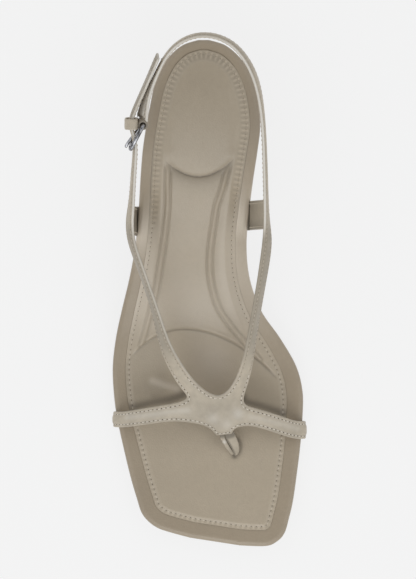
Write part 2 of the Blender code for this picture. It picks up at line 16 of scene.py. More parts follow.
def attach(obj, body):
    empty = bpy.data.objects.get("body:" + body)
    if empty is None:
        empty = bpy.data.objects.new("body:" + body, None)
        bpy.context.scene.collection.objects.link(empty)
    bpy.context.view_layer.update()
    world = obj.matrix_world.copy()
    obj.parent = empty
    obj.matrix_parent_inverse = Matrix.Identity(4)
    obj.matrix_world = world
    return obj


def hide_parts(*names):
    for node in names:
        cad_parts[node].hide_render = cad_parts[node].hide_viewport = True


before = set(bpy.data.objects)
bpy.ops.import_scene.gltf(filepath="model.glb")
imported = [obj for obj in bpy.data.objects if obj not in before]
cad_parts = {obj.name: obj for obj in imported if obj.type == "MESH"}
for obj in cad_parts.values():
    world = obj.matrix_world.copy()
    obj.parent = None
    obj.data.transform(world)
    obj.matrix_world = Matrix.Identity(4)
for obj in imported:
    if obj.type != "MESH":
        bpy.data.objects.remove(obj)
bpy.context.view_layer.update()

MM = 0.001
CENTRE_X = 0.6
CENTRE_Y = -2.5
PIECE_GAP = 0.3

# Sizes of the sole.
FOOTBED_THICKNESS = 5.0
OUTSOLE_THICKNESS = 2.2
OUTSOLE_INSET = 3.0
OUTSOLE_END_Y = 73.2
TOP_PIECE_HEIGHT = 5.0
HEEL_SIDES = 128
RING_CHORD = 2.0
BALL_STATION = -46.0
BALL_REACH = 24.0
BALL_RIM_SHIFT = 0.8

# Sizes of the sock; its border steps are distances of grid points from its edge.
INSOLE_EDGE = 1.1
SOCK_EDGE_HEIGHT = 0.12
SOCK_STITCH_INSET = 1.7
SOCK_STITCH_PITCH = 2.4
SOCK_COLUMNS = 110
SOCK_BORDER_STEPS = [0.0, 0.12, 0.32, 0.6, 0.9, 1.2, 1.45, 1.7, 1.95, 2.2, 2.6, 3.1]
SOCK_FINE_ZONES = [(50.5, 61.5), (-34.0, -16.0)]
SOCK_EDGE_POINT_STEP = 0.15
SEAM_POINT_STEP = 0.5
SEAM_START = (36.0, -63.5)
SEAM_RISE = 1.4
HEEL_SEAM_LATERAL_Y = 24.0
HEEL_SEAM_MEDIAL_Y = 36.0
UNDERSIDE_SHADE = 0.3
ARCH_EDGE_TIP = (-12.0, -18.3)
ARCH_BEND_LATERAL = -0.022
ARCH_BEND_MEDIAL = -0.0115
FOLD_TIP = (-4.4, 52.3)
FOLD_BEND = 0.031
SOCK_GROOVE_DEPTH = 0.14
ARCH_PAD_RISE = 1.2
ARCH_LIP = 0.18
FOREFOOT_CROWN = 0.25
FOLD_DEPTH = 0.75
FOLD_LINE_DEPTH = 0.15
FOLD_ROLL = 0.45
HEEL_PAD_RISE = 0.3
PIPING_HEIGHT = 0.5
PIPING_WIDTH = 0.75
PIPING_GROOVE_PLACE = 1.4
PIPING_GROOVE_DEPTH = 0.45
PIPING_GROOVE_WIDTH = 0.45

# Sizes of the straps.
STRAP_THICKNESS = 1.5
STRAP_CROWN = 0.4
STRAP_GROOVE_DEPTH = 0.16
LINING_GROOVE_DEPTH = 0.06
STRAP_STITCH_INSET = 1.35
STRAP_STITCH_PITCH = 2.2
STRAP_BORDER_RINGS = (0.07, 0.15)
TAB_WIDTH = 13.6
PLATE_BACK_Y = -40.0
KEEPER_BACK_Y = 77.0
EDGE_GAP = PIECE_GAP + 0.5 * STRAP_THICKNESS
STRAND_SQUARENESS = 2.4
STRAND_SIDES = 24

# Sizes of the buckle, the rolled sling end and the keeper loop.
WIRE_RADIUS = 0.9
PRONG_RADIUS = 0.7
PRONG_OVERHANG = 1.4
PRONG_TAPER = [0.95, 0.8, 0.65, 0.5]
BUCKLE_HEIGHT = 10.8
BUCKLE_CORNER = 1.6
BUCKLE_REAR = Vector((-29.5, 75.6, 82.6))
BUCKLE_FRONT = Vector((-35.2, 65.0, 79.0))
BUCKLE_BAR = Vector((0.0, -0.34, 0.94))
EYE_WALL = 1.2
EYE_LENGTH = 7.8
KEEPER_THICKNESS = 0.9
KEEPER_CENTRE = Vector((-34.75, 75.3, 82.7))
KEEPER_AXIS = Vector((0.0, 0.993, 0.119))
KEEPER_LOOP = (2.45, 2.25, 5.4)
KEEPER_SQUARENESS = 3.4
KEEPER_EDGE_SQUARENESS = 5.0

Rib = namedtuple("Rib", "lateral_x lateral_y medial_x medial_y")
FOOTBED_RIBS = [
    Rib(-4.5, 115.0, 0.5, 115.0),
    Rib(-11.5, 112.7, 7.7, 112.7),
    Rib(-17.3, 108.0, 13.7, 108.0),
    Rib(-21.3, 102.0, 18.2, 102.0),
    Rib(-24.7, 94.0, 21.5, 94.0),
    Rib(-26.9, 84.0, 23.5, 84.0),
    Rib(-28.7, 74.5, 24.1, 74.5),
    Rib(-30.3, 63.5, 22.8, 63.5),
    Rib(-31.4, 50.0, 20.8, 50.0),
    Rib(-32.4, 35.0, 19.0, 35.0),
    Rib(-34.0, 20.0, 18.0, 20.0),
    Rib(-36.9, 5.0, 19.6, 5.0),
    Rib(-40.6, -10.0, 25.0, -10.0),
    Rib(-43.4, -23.0, 34.0, -23.0),
    Rib(-44.9, -36.0, 41.5, -36.0),
    Rib(-44.5, -48.0, 44.6, -48.0),
    Rib(-43.0, -60.0, 44.6, -60.0),
    Rib(-40.0, -74.0, 43.5, -74.0),
    Rib(-36.5, -88.5, 41.7, -88.5),
    Rib(-33.4, -99.0, 40.0, -100.0),
    Rib(-31.4, -105.0, 38.1, -108.0),
    Rib(-28.4, -109.0, 36.0, -114.8),
    Rib(-24.0, -112.2, 32.3, -118.8),
    Rib(-18.5, -114.2, 27.0, -120.8),
    Rib(-8.5, -116.9, 15.0, -120.5),
]

Profile = namedtuple("Profile", "station height")
FEATHER_LINE = [
    Profile(-122.0, 7.0),
    Profile(-100.0, 3.9),
    Profile(-80.0, 2.5),
    Profile(-44.0, 2.5),
    Profile(-25.0, 4.9),
    Profile(0.0, 13.2),
    Profile(25.0, 25.4),
    Profile(50.0, 36.8),
    Profile(75.0, 44.6),
    Profile(95.0, 48.0),
    Profile(118.0, 49.6),
]

Rim = namedtuple("Rim", "station width")
RIM_WIDTH = [
    Rim(-122.0, 7.6),
    Rim(-50.0, 7.0),
    Rim(-10.0, 6.0),
    Rim(30.0, 5.2),
    Rim(75.0, 4.8),
    Rim(116.0, 4.9),
]

Level = namedtuple("Level", "inset rise")
FOOTBED_WALL = [
    Level(1.3, 0.0),
    Level(0.3, 0.6),
    Level(0.0, 1.7),
    Level(0.0, 3.2),
    Level(0.5, 4.3),
    Level(1.8, 5.0),
]
OUTSOLE_WALL = [Level(0.7, 0.0), Level(0.0, 0.6), Level(0.0, 1.7), Level(0.4, 2.2)]
TOP_PIECE_WALL = [
    Level(0.8, 0.0),
    Level(0.35, 0.15),
    Level(0.12, 0.5),
    Level(0.1, 2.5),
    Level(0.1, 4.6),
    Level(0.3, TOP_PIECE_HEIGHT),
]

# The footbed's rim from its wall, part 0, to the sock, part 1; dark is painted shade in the gap beside the
# sock.
RimLevel = namedtuple("RimLevel", "part lift dark")
RIM_LEVELS = [
    RimLevel(0.15, 0.07, 0.0),
    RimLevel(0.35, 0.15, 0.0),
    RimLevel(0.55, 0.22, 0.0),
    RimLevel(0.75, 0.3, 0.0),
    RimLevel(0.88, 0.34, 0.0),
    RimLevel(0.95, 0.34, 0.2),
    RimLevel(1.0, 0.27, 0.8),
    RimLevel(1.08, -0.2, 0.9),
]

HeelSection = namedtuple("HeelSection", "drop centre_y half_width to_back to_breast")
HEEL_CENTRE_X = -2.0
HEEL_BACK_ROUNDING = 2.0
HEEL_BREAST_ROUNDING = 5.0
HEEL_SECTIONS = [
    HeelSection(0.0, 84.0, 24.2, 29.3, 10.5),
    HeelSection(0.12, 86.5, 21.2, 25.7, 10.8),
    HeelSection(0.3, 90.5, 17.2, 20.6, 11.2),
    HeelSection(0.5, 93.8, 14.2, 16.8, 11.0),
    HeelSection(0.74, 96.2, 12.3, 14.1, 10.6),
    HeelSection(1.0, 97.4, 11.6, 12.8, 10.4),
]

# Strap sections: the face leans from upright toward the heading, 0 degrees to the big-toe side.
Strap = namedtuple("Strap", "x y z width lean heading climb", defaults=[0.0])
PLATE_CORNERS = {
    "lateral_back": (-7.5, -51.0, 27.8),
    "lateral_front": (-0.5, -63.2, 23.6),
    "medial_front": (13.4, -64.4, 22.8),
    "medial_back": (14.8, -53.8, 27.2),
    "throat": (5.0, -52.3, 30.2),
}
LATERAL_ARM = [
    Strap(-15.2, -57.2, 26.0, 8.2, 18, 235),
    Strap(-24.0, -58.5, 23.6, 7.8, 27, 205),
    Strap(-33.0, -60.0, 19.2, 7.6, 42, 192),
    Strap(-39.6, -61.2, 13.8, 7.4, 60, 187),
]
MEDIAL_ARM = [
    Strap(21.0, -59.4, 24.8, 8.4, 22, 315),
    Strap(29.2, -61.9, 21.4, 8.2, 33, 335),
    Strap(36.6, -64.6, 16.6, 8.2, 47, 345),
    Strap(41.6, -66.2, 11.8, 8.4, 62, 350),
]
PLATE_TIP = [
    Strap(7.3, -66.2, 21.9, 9.2, 32, 270),
    Strap(7.6, -67.8, 20.6, 7.4, 42, 270),
]
LATERAL_STRAP = [
    Strap(-10.2, -44.4, 29.8, 8.0, 28, 180),
    Strap(-17.0, -32.8, 33.8, 8.0, 38, 180),
    Strap(-20.8, -23.6, 37.4, 8.0, 51, 180),
    Strap(-23.5, -13.0, 42.4, 8.0, 60, 180),
    Strap(-26.6, -3.0, 47.8, 8.0, 63, 180),
    Strap(-29.7, 6.0, 53.0, 8.0, 63, 180),
    Strap(-32.6, 14.2, 57.9, 8.0, 63, 180),
    Strap(-35.3, 22.0, 61.9, 8.0, 64, 180),
    Strap(-36.1, 30.5, 65.7, 8.0, 67, 180),
    Strap(-34.8, 39.0, 69.0, 8.0, 77, 180),
    Strap(-34.1, 51.0, 73.5, 8.0, 80, 178),
    Strap(-33.0, 62.0, 77.6, 8.0, 83, 177),
    Strap(-33.0, 68.6, 80.0, 8.0, 87, 186),
    Strap(-35.2, 74.4, 82.2, 8.0, 86, 183),
    Strap(-34.3, 79.1, 84.0, 8.0, 83, 160),
    Strap(-30.9, 86.5, 86.9, 8.0, 80, 154),
    Strap(-26.8, 95.4, 90.4, 8.0, 80, 155),
    Strap(-22.5, 105.4, 94.3, 7.4, 77, 155),
]
MEDIAL_STRAP = [
    Strap(15.8, -43.8, 30.2, 8.0, 38, 0),
    Strap(19.4, -29.5, 35.0, 8.0, 53, 0),
    Strap(21.6, -14.0, 42.6, 8.0, 57, 0),
    Strap(24.3, 1.0, 50.6, 8.0, 58, 0),
    Strap(26.2, 13.0, 57.2, 8.0, 54, 0),
    Strap(27.2, 21.6, 61.9, 8.0, 56, 0),
    Strap(26.9, 29.8, 65.6, 8.0, 76, 0),
    Strap(26.5, 40.0, 69.6, 8.0, 82, 2),
    Strap(25.9, 58.0, 76.2, 8.0, 83, 3),
    Strap(25.1, 76.0, 82.9, 8.0, 83, 11),
    Strap(23.1, 91.7, 88.6, 8.0, 72, 24),
    Strap(18.4, 102.8, 92.8, 8.0, 70, 43),
    Strap(11.2, 111.4, 95.9, 8.0, 74, 64),
    Strap(0.9, 115.3, 97.3, 8.0, 79, 84),
    Strap(-9.8, 113.9, 96.7, 8.0, 80, 106),
    Strap(-18.1, 107.3, 94.4, 8.0, 81, 131),
    Strap(-23.2, 97.4, 90.9, 8.0, 79, 148),
    Strap(-27.0, 89.0, 87.9, 8.0, 74, 160),
    Strap(-29.0, 82.4, 85.3, 8.0, 60, 170),
    Strap(-29.8, 77.4, 83.3, 8.0, 51, 172),
]
LATERAL_TAB = [
    Strap(-34.9, 32.0, 67.0, TAB_WIDTH, 88, 180),
    Strap(-35.0, 32.0, 60.0, TAB_WIDTH, 89, 180),
    Strap(-34.7, 31.9, 50.0, TAB_WIDTH, 91, 180),
    Strap(-34.2, 31.8, 40.0, TAB_WIDTH, 91, 180),
]
MEDIAL_TAB = [
    Strap(26.3, 34.4, 68.0, TAB_WIDTH, 98, 0),
    Strap(25.6, 34.4, 62.0, TAB_WIDTH, 100, 0),
    Strap(23.6, 34.4, 52.0, TAB_WIDTH, 101, 0),
    Strap(21.3, 34.4, 41.0, TAB_WIDTH, 101, 0),
]

# The toe post is a wide and a narrow rolled strand from under the plate tip into the sock.
Strand = namedtuple("Strand", "x y z across along turn")
WIDE_STRAND = [
    Strand(9.3, -65.4, 21.5, 2.1, 0.9, 0),
    Strand(10.5, -68.7, 18.0, 2.3, 1.0, 16),
    Strand(12.1, -72.2, 14.4, 2.1, 1.1, 22),
    Strand(13.1, -75.2, 11.2, 1.7, 1.2, 28),
    Strand(13.1, -77.1, 8.4, 1.2, 1.2, 32),
    Strand(12.9, -77.7, 5.3, 1.1, 1.1, 32),
]
NARROW_STRAND = [
    Strand(5.9, -65.8, 21.4, 1.1, 0.8, 0),
    Strand(6.9, -69.4, 18.0, 1.1, 0.9, 20),
    Strand(8.3, -72.2, 14.9, 1.05, 0.95, 28),
    Strand(10.0, -75.0, 11.8, 1.0, 0.95, 32),
    Strand(11.5, -77.1, 8.6, 0.9, 0.9, 34),
    Strand(11.8, -77.6, 5.3, 0.85, 0.85, 34),
]

# Raised piping on the arch pad, read on the sock's surface.
LATERAL_PIPING = [
    (-18.4, 57.4), (-18.7, 50.5), (-18.9, 38.8), (-20.0, 27.1), (-21.4, 17.0),
    (-22.8, 7.5), (-24.1, -0.4), (-26.2, -8.3), (-28.6, -17.1), (-31.2, -25.8),
]
MEDIAL_PIPING = [
    (9.4, 57.4), (8.2, 52.8), (6.7, 46.6), (4.1, 38.8), (2.8, 31.0), (1.6, 23.2), (0.9, 15.4),
    (1.0, 7.5), (2.4, -0.4), (5.0, -8.3), (10.2, -16.3), (15.3, -22.7), (20.3, -28.6), (23.9, -33.0),
]

# How a strap goes down the footbed's edge and under it: out from the edge, up from its foot, and leaning.
Tuck = namedtuple("Tuck", "outward rise lean")
TUCK_UNDER = [
    Tuck(EDGE_GAP, FOOTBED_THICKNESS + 0.8, 86),
    Tuck(EDGE_GAP + 0.3, 3.0, 92),
    Tuck(EDGE_GAP - 0.2, 0.9, 125),
    Tuck(-2.6, EDGE_GAP - 0.3, 170),
    Tuck(-6.0, EDGE_GAP, 180),
    Tuck(-9.5, EDGE_GAP, 180),
]

# Soft lines and spots in plan. A share is the painted shade, painted light or height that they give at
# their strongest.
Streak = namedtuple("Streak", "path share width")
Spot = namedtuple("Spot", "x y across along share")
# Lines of painted shadow behind and before the arms, beside the wrinkle, beside the toe post and between
# its strands; a spot of it at the post's foot.
BEHIND_LATERAL_ARM = [
    (-43.0, -57.0), (-36.3, -55.8), (-26.9, -53.5), (-20.7, -52.6), (-16.6, -51.7), (-11.1, -49.4),
]
BESIDE_WRINKLE = [(-25.5, -50.3), (-21.0, -50.6), (-17.0, -50.5), (-12.5, -49.6)]
BEHIND_MEDIAL_ARM = [(16.4, -50.6), (18.2, -53.0), (23.0, -54.4), (30.2, -56.6), (35.8, -58.6)]
BEFORE_LATERAL_ARM = [(-12.0, -61.6), (-7.2, -62.4), (-2.4, -63.8), (1.6, -66.5), (4.0, -69.3)]
BEFORE_MEDIAL_ARM = [(15.1, -67.3), (19.1, -65.6), (23.1, -65.4), (29.0, -66.6)]
BESIDE_POST = [(12.9, -69.6), (14.7, -71.2), (15.5, -73.6), (15.2, -76.0), (13.9, -77.8), (12.4, -78.9)]
BETWEEN_STRANDS = [(7.6, -69.6), (9.2, -72.6), (10.6, -75.2), (12.0, -77.6)]
SOCK_SHADES = [
    Streak(BEHIND_LATERAL_ARM, 0.95, 2.0),
    Streak(BESIDE_WRINKLE, 0.25, 1.6),
    Streak(BEHIND_MEDIAL_ARM, 0.95, 2.0),
    Streak(BEFORE_LATERAL_ARM, 0.24, 3.4),
    Streak(BEFORE_MEDIAL_ARM, 0.2, 2.6),
    Streak(BESIDE_POST, 0.75, 0.9),
    Streak(BETWEEN_STRANDS, 0.55, 1.1),
]
POST_FOOT_SHADE = [Spot(12.5, -77.4, 2.08, 1.92, 0.6)]
# Painted sheen on the wrinkle behind the outer arm; below it, painted light in the throat and on the shank.
SOCK_LIGHTS = [Streak([(-26.1, -43.0), (-20.6, -44.8), (-15.0, -46.6)], 0.6, 1.7)]
THROAT_AND_SHANK_LIGHTS = [Spot(3.0, -36.0, 10.0, 10.0, 0.5), Spot(-8.0, 36.0, 12.0, 10.0, 0.08)]
HEEL_DOME = Spot(-3.0, 82.0, 19.0, 28.0, 0.9)
# The two corners of the heel pad, the wrinkle behind the outer arm and the toe post's dent.
SOCK_BUMPS = [
    Spot(-17.4, 62.6, 3.4, 2.8, 0.4),
    Spot(10.6, 62.0, 3.4, 2.8, 0.4),
    Spot(-22.0, -44.6, 6.5, 2.6, 0.5),
    Spot(12.5, -77.4, 2.6, 2.4, -0.4),
]
# Painted highlights along the arms' crowns, painted light on the sling's face beside the free end, and
# painted highlight spots on the plate.
LATERAL_ARM_CROWN = [(-38.0, -59.9), (-26.9, -58.6), (-16.6, -57.0), (-9.5, -56.4)]
MEDIAL_ARM_CROWN = [(20.0, -59.6), (26.0, -60.9), (32.4, -62.4), (42.0, -65.4)]
SLING_FACE = [(-29.6, 76.6), (-29.4, 80.0), (-28.6, 84.0), (-26.4, 90.0), (-23.8, 95.5)]
STRAP_LIGHTS = [
    Streak(LATERAL_ARM_CROWN, 0.32, 1.5),
    Streak(MEDIAL_ARM_CROWN, 0.22, 1.5),
    Streak(SLING_FACE, 0.8, 2.6),
]
PLATE_LIGHTS = [
    Spot(14.1, -58.1, 2.4, 2.4, 0.4),
    Spot(2.4, -60.4, 2.4, 2.4, 0.3),
    Spot(9.0, -63.0, 2.4, 2.4, 0.25),
]
# Painted shade along the straps' front edge and over the plate.
FRONT_EDGE = [
    (-38.0, -64.0), (-26.0, -62.6), (-15.0, -61.6), (-6.0, -62.4), (1.0, -65.8), (7.0, -69.5),
    (13.6, -67.6), (20.0, -64.4), (27.0, -65.4), (34.0, -67.6), (42.0, -70.0),
]
STRAP_SHADES = [Streak(FRONT_EDGE, 0.22, 2.2)]
PLATE_SHADE = [Spot(5.0, -56.0, 12.0, 9.0, 0.3)]

# The stage is in metres, and the camera's sensor in millimetres.
FLOOR_HALF = 6.0
FLOOR_GREYS = [(0.11, 0.11, 0.11, 1.0), (0.115, 0.115, 0.115, 1.0)]
FLOOR_GLOW = 0.8
CAMERA_HEIGHT = 2.0
FRAME_HEIGHT = 0.274
SENSOR = 36.0
WHITE = (1.0, 1.0, 1.0)
COOL_WHITE = (0.95, 0.98, 1.0)

# How bright the sky is: along an axis of the direction, from low to high, the first share to the second.
SkyBand = namedtuple("SkyBand", "axis low high share_low share_high")
SKY = [
    SkyBand("Z", 0.84, 0.98, 1.0, 0.12),
    SkyBand("Z", 0.0, 0.6, 0.46, 0.95),
    SkyBand("Y", -1.0, 1.0, 1.25, 0.75),
]


# Curves and outlines.

def read_curve(table, at):
    """A curve without overshoot through a two-column table."""
    rows = np.array(table, dtype=float)
    place, value = rows[:, 0], rows[:, 1]
    step = np.diff(place)
    slope = np.diff(value) / step
    tangent = np.zeros(len(place))
    tangent[0], tangent[-1] = slope[0], slope[-1]
    for k in range(1, len(place) - 1):
        if slope[k - 1] * slope[k] > 0:
            tangent[k] = 2 * slope[k - 1] * slope[k] / (slope[k - 1] + slope[k])
    at = np.asarray(at, dtype=float)
    k = np.clip(np.searchsorted(place, at) - 1, 0, len(step) - 1)
    t = np.clip((at - place[k]) / step[k], 0.0, 1.0)
    rising = value[k] * (1 + 2 * t) * (1 - t) ** 2 + value[k + 1] * t * t * (3 - 2 * t)
    bending = tangent[k] * t * (1 - t) ** 2 + tangent[k + 1] * t * t * (t - 1)
    return rising + step[k] * bending


def feather(y):
    """Height of the footbed's lower edge along the shoe."""
    return read_curve(FEATHER_LINE, y)


def smooth_rows(table, steps):
    """Rows of a table with a smooth curve through every column."""
    rows = np.array(table, dtype=float)
    count = len(rows)
    made = []
    for k in range(count - 1):
        before, here = rows[max(k - 1, 0)], rows[k]
        ahead, beyond = rows[k + 1], rows[min(k + 2, count - 1)]
        for s in range(steps):
            t = s / steps
            bend = (ahead - before) * t + (2 * before - 5 * here + 4 * ahead - beyond) * t * t
            bend = bend + (3 * here - 3 * ahead + beyond - before) * t ** 3
            made.append(here + 0.5 * bend)
    made.append(rows[-1])
    return np.array(made)


def past(value, start, run):
    """0 before a start, 1 a run further on, smooth between; a run below 0 goes the other way."""
    share = np.clip((value - start) / run, 0.0, 1.0)
    return share * share * (3.0 - 2.0 * share)


def near(value, centre, reach):
    """1 at a centre, fading out on both sides of it."""
    return np.exp(-np.square((value - centre) / reach))


def line_distance(x, y, line):
    """How far points lie from a smooth line through a table of places."""
    path = smooth_rows(line, 10)
    best = np.full(x.shape, np.inf)
    for (ax, ay), (bx, by) in zip(path[:-1], path[1:]):
        dx, dy = bx - ax, by - ay
        t = np.clip(((x - ax) * dx + (y - ay) * dy) / (dx * dx + dy * dy), 0.0, 1.0)
        best = np.minimum(best, np.hypot(x - ax - t * dx, y - ay - t * dy))
    return best


def glow(x, y, streaks, spots):
    """Soft lines and spots in plan, added up at each point."""
    total = np.zeros(x.shape)
    for path, share, width in streaks:
        total += share * near(line_distance(x, y, path), 0.0, width)
    for spot_x, spot_y, across, along, share in spots:
        total += share * near(np.hypot((x - spot_x) / across, (y - spot_y) / along), 0.0, 1.0)
    return total


def unit(vectors):
    """Rows of an array, each made one long."""
    return vectors / np.linalg.norm(vectors, axis=1)[:, None]


def looped(path):
    """A path with its first point again at its end."""
    return np.vstack([path, path[:1]])


def path_lengths(path):
    """How far along a path each of its points lies."""
    return np.concatenate([[0.0], np.cumsum(np.linalg.norm(np.diff(path, axis=0), axis=1))])


def read_path(path, lengths, at):
    """The places at given lengths along a path."""
    return np.stack([np.interp(at, lengths, column) for column in path.T], axis=-1)


def even_loop(path, step, start):
    """A closed path again with points at even steps, from the point nearest to a start."""
    first = int(np.argmin(np.hypot(path[:, 0] - start[0], path[:, 1] - start[1])))
    loop = looped(np.roll(path, -first, axis=0))
    lengths = path_lengths(loop)
    count = int(round(lengths[-1] / step))
    return read_path(loop, lengths, np.arange(count) * lengths[-1] / count)


def in_space(places):
    """Places in plan as points at height 0; points in space as they are."""
    return np.column_stack([places, np.zeros((len(places), 3 - places.shape[1]))])


def nearest(places, path):
    """Which point of a path lies nearest to each place, and how far away it is."""
    tree = KDTree(len(path))
    for k, point in enumerate(in_space(path)):
        tree.insert(point, k)
    tree.balance()
    found = [tree.find(place) for place in in_space(places)]
    return np.array([which for _, which, _ in found]), np.array([away for _, _, away in found])


def border_distance(places, border, parts=8):
    """How far places lie from a closed border, with points added between its own."""
    ahead = np.roll(border, -1, axis=0)
    dense = np.vstack([border + (ahead - border) * part / parts for part in range(parts)])
    return nearest(places, dense)[1]


def sole_ring(ribs, inset):
    """The outline of the sole as one ring, moved inward square to its edge."""
    ring = np.vstack([ribs[:, 0:2], ribs[::-1, 2:4]])
    loop = looped(ring)
    lengths = path_lengths(loop)
    ahead = read_path(loop, lengths, (lengths[:-1] + RING_CHORD) % lengths[-1])
    behind = read_path(loop, lengths, (lengths[:-1] - RING_CHORD) % lengths[-1])
    along = unit(ahead - behind)
    inward = np.stack([-along[:, 1], along[:, 0]], axis=1)
    return ring + inward * np.asarray(inset).reshape(-1, 1)


def rim_width(ring):
    """How much of the footbed shows beside the sock: more on the inner side of the ball than the outer."""
    x, y = ring.T
    return read_curve(RIM_WIDTH, y) + BALL_RIM_SHIFT * np.sign(x) * near(y, BALL_STATION, BALL_REACH)


# Meshes.

def ring_walls(count, levels, closed=False):
    """Quads between rings of points stored one after another; closed joins the last ring to the first."""
    faces = []
    for level in range(levels if closed else levels - 1):
        low, high = level * count, (level + 1) % levels * count
        for k in range(count):
            nxt = (k + 1) % count
            faces.append((low + k, low + nxt, high + nxt, high + k))
    return faces


def stacked(rings):
    """The points of several rings as one list."""
    return [tuple(point) for ring in rings for point in ring]


def loft(rings):
    """A closed solid through rings that all have the same number of points."""
    count = len(rings[0])
    top = (len(rings) - 1) * count
    faces = ring_walls(count, len(rings))
    faces.append(tuple(range(count))[::-1])
    faces.append(tuple(range(top, top + count)))
    return stacked(rings), faces


def rib_cap(first, count, facing_up):
    """Quads across one ring from rib to rib."""
    faces = []
    for k in range(count // 2 - 1):
        quad = (first + k, first + k + 1, first + count - 2 - k, first + count - 1 - k)
        faces.append(quad if facing_up else quad[::-1])
    return faces


def sole_block(rings):
    """A closed solid through rings of the sole, capped from rib to rib."""
    count = len(rings[0])
    faces = ring_walls(count, len(rings))
    faces += rib_cap(0, count, False)
    faces += rib_cap((len(rings) - 1) * count, count, True)
    return stacked(rings), faces


def renumbered(faces, first):
    """Faces whose points come after others in a list."""
    return [tuple(i + first for i in face) for face in faces]


def oval(half_width, half_length, squareness, count):
    """Points of a rounded oval; squareness 2 is an ellipse, more is boxier."""
    made = []
    for k in range(count):
        angle = 2 * math.pi * k / count
        c, s = math.cos(angle), math.sin(angle)
        x = math.copysign(abs(c) ** (2 / squareness), c) * half_width
        y = math.copysign(abs(s) ** (2 / squareness), s) * half_length
        made.append((x, y))
    return made


def tube(path, radii, sides, closed):
    """A round wire along a path of points, with a radius at each."""
    path = [Vector(p) for p in path]
    count = len(path)
    turns = [2 * math.pi * s / sides for s in range(sides)]
    rings = []
    side = None
    for k, p in enumerate(path):
        before = path[k - 1] if closed or k else p
        after = path[(k + 1) % count] if closed or k < count - 1 else p
        along = (after - before).normalized()
        if side is None:
            side = along.orthogonal().normalized()
        side = (side - along * side.dot(along)).normalized()
        up = along.cross(side)
        rings.append([p + (side * math.cos(a) + up * math.sin(a)) * radii[k] for a in turns])
    if closed:
        return stacked(rings), ring_walls(sides, count, closed)
    return loft(rings)


# Materials.

def screen(red, green, blue):
    """A colour as seen on screen, 0 to 255, in the linear values that shaders use."""
    made = []
    for value in (red, green, blue):
        v = value / 255.0
        made.append(v / 12.92 if v <= 0.04045 else ((v + 0.055) / 1.055) ** 2.4)
    return (*made, 1.0)


def shade(colour, factor):
    """A colour made darker or lighter."""
    return (*(min(1.0, c * factor) for c in colour[:3]), 1.0)


class Graph:
    """The node tree of a material or a world, built one node to a call."""

    def __init__(self, owner, shader="Principled BSDF"):
        owner.use_nodes = True
        self.owner = owner
        self.tree = owner.node_tree
        self.shader = self.tree.nodes[shader]

    def feed(self, socket, value):
        if isinstance(value, bpy.types.NodeSocket):
            self.tree.links.new(value, socket)
        else:
            socket.default_value = value

    def add(self, kind, output, settings=None, **inputs):
        node = self.tree.nodes.new(kind)
        for key, value in (settings or {}).items():
            setattr(node, key, value)
        for key, value in inputs.items():
            self.feed(node.inputs[key.replace("_", " ")], value)
        return node.outputs[output]

    def place(self):
        return self.add("ShaderNodeTexCoord", "Object")

    def noise(self, at, scale, detail=3.0, roughness=0.55, distortion=0.0):
        return self.add("ShaderNodeTexNoise", "Fac", None, Vector=at, Scale=scale, Detail=detail,
                        Roughness=roughness, Distortion=distortion)

    def cells(self, at, scale):
        return self.add("ShaderNodeTexVoronoi", "Distance", {"feature": "SMOOTH_F1"}, Vector=at,
                        Scale=scale, Smoothness=0.4)

    def span(self, value, low, high, to_low, to_high):
        return self.add("ShaderNodeMapRange", "Result", None, Value=value, From_Min=low,
                        From_Max=high, To_Min=to_low, To_Max=to_high)

    def maths(self, operation, first, second=0.0):
        node = self.tree.nodes.new("ShaderNodeMath")
        node.operation = operation
        self.feed(node.inputs[0], first)
        self.feed(node.inputs[1], second)
        return node.outputs[0]

    def times(self, first, second):
        return self.maths("MULTIPLY", first, second)

    def mix(self, share, first, second):
        node = self.tree.nodes.new("ShaderNodeMix")
        node.data_type = "RGBA"
        self.feed(node.inputs[0], share)
        self.feed(node.inputs[6], first)
        self.feed(node.inputs[7], second)
        return node.outputs[2]

    def tint(self, dye, pattern, low, high, share, tone):
        """A dye that takes a share of another tone as a pattern goes from low to high."""
        return self.mix(self.span(pattern, low, high, 0.0, share), dye, tone)

    def mark(self, name):
        """A number stored on the mesh's points."""
        return self.add("ShaderNodeAttribute", "Fac", {"attribute_name": name})

    def bump(self, height, millimetres):
        bumped = self.add("ShaderNodeBump", "Normal", None, Height=height, Distance=millimetres * MM,
                          Strength=1.0)
        self.feed(self.shader.inputs["Normal"], bumped)

    def finish(self, **values):
        for key, value in values.items():
            self.feed(self.shader.inputs[key.replace("_", " ")], value)
        return self.owner


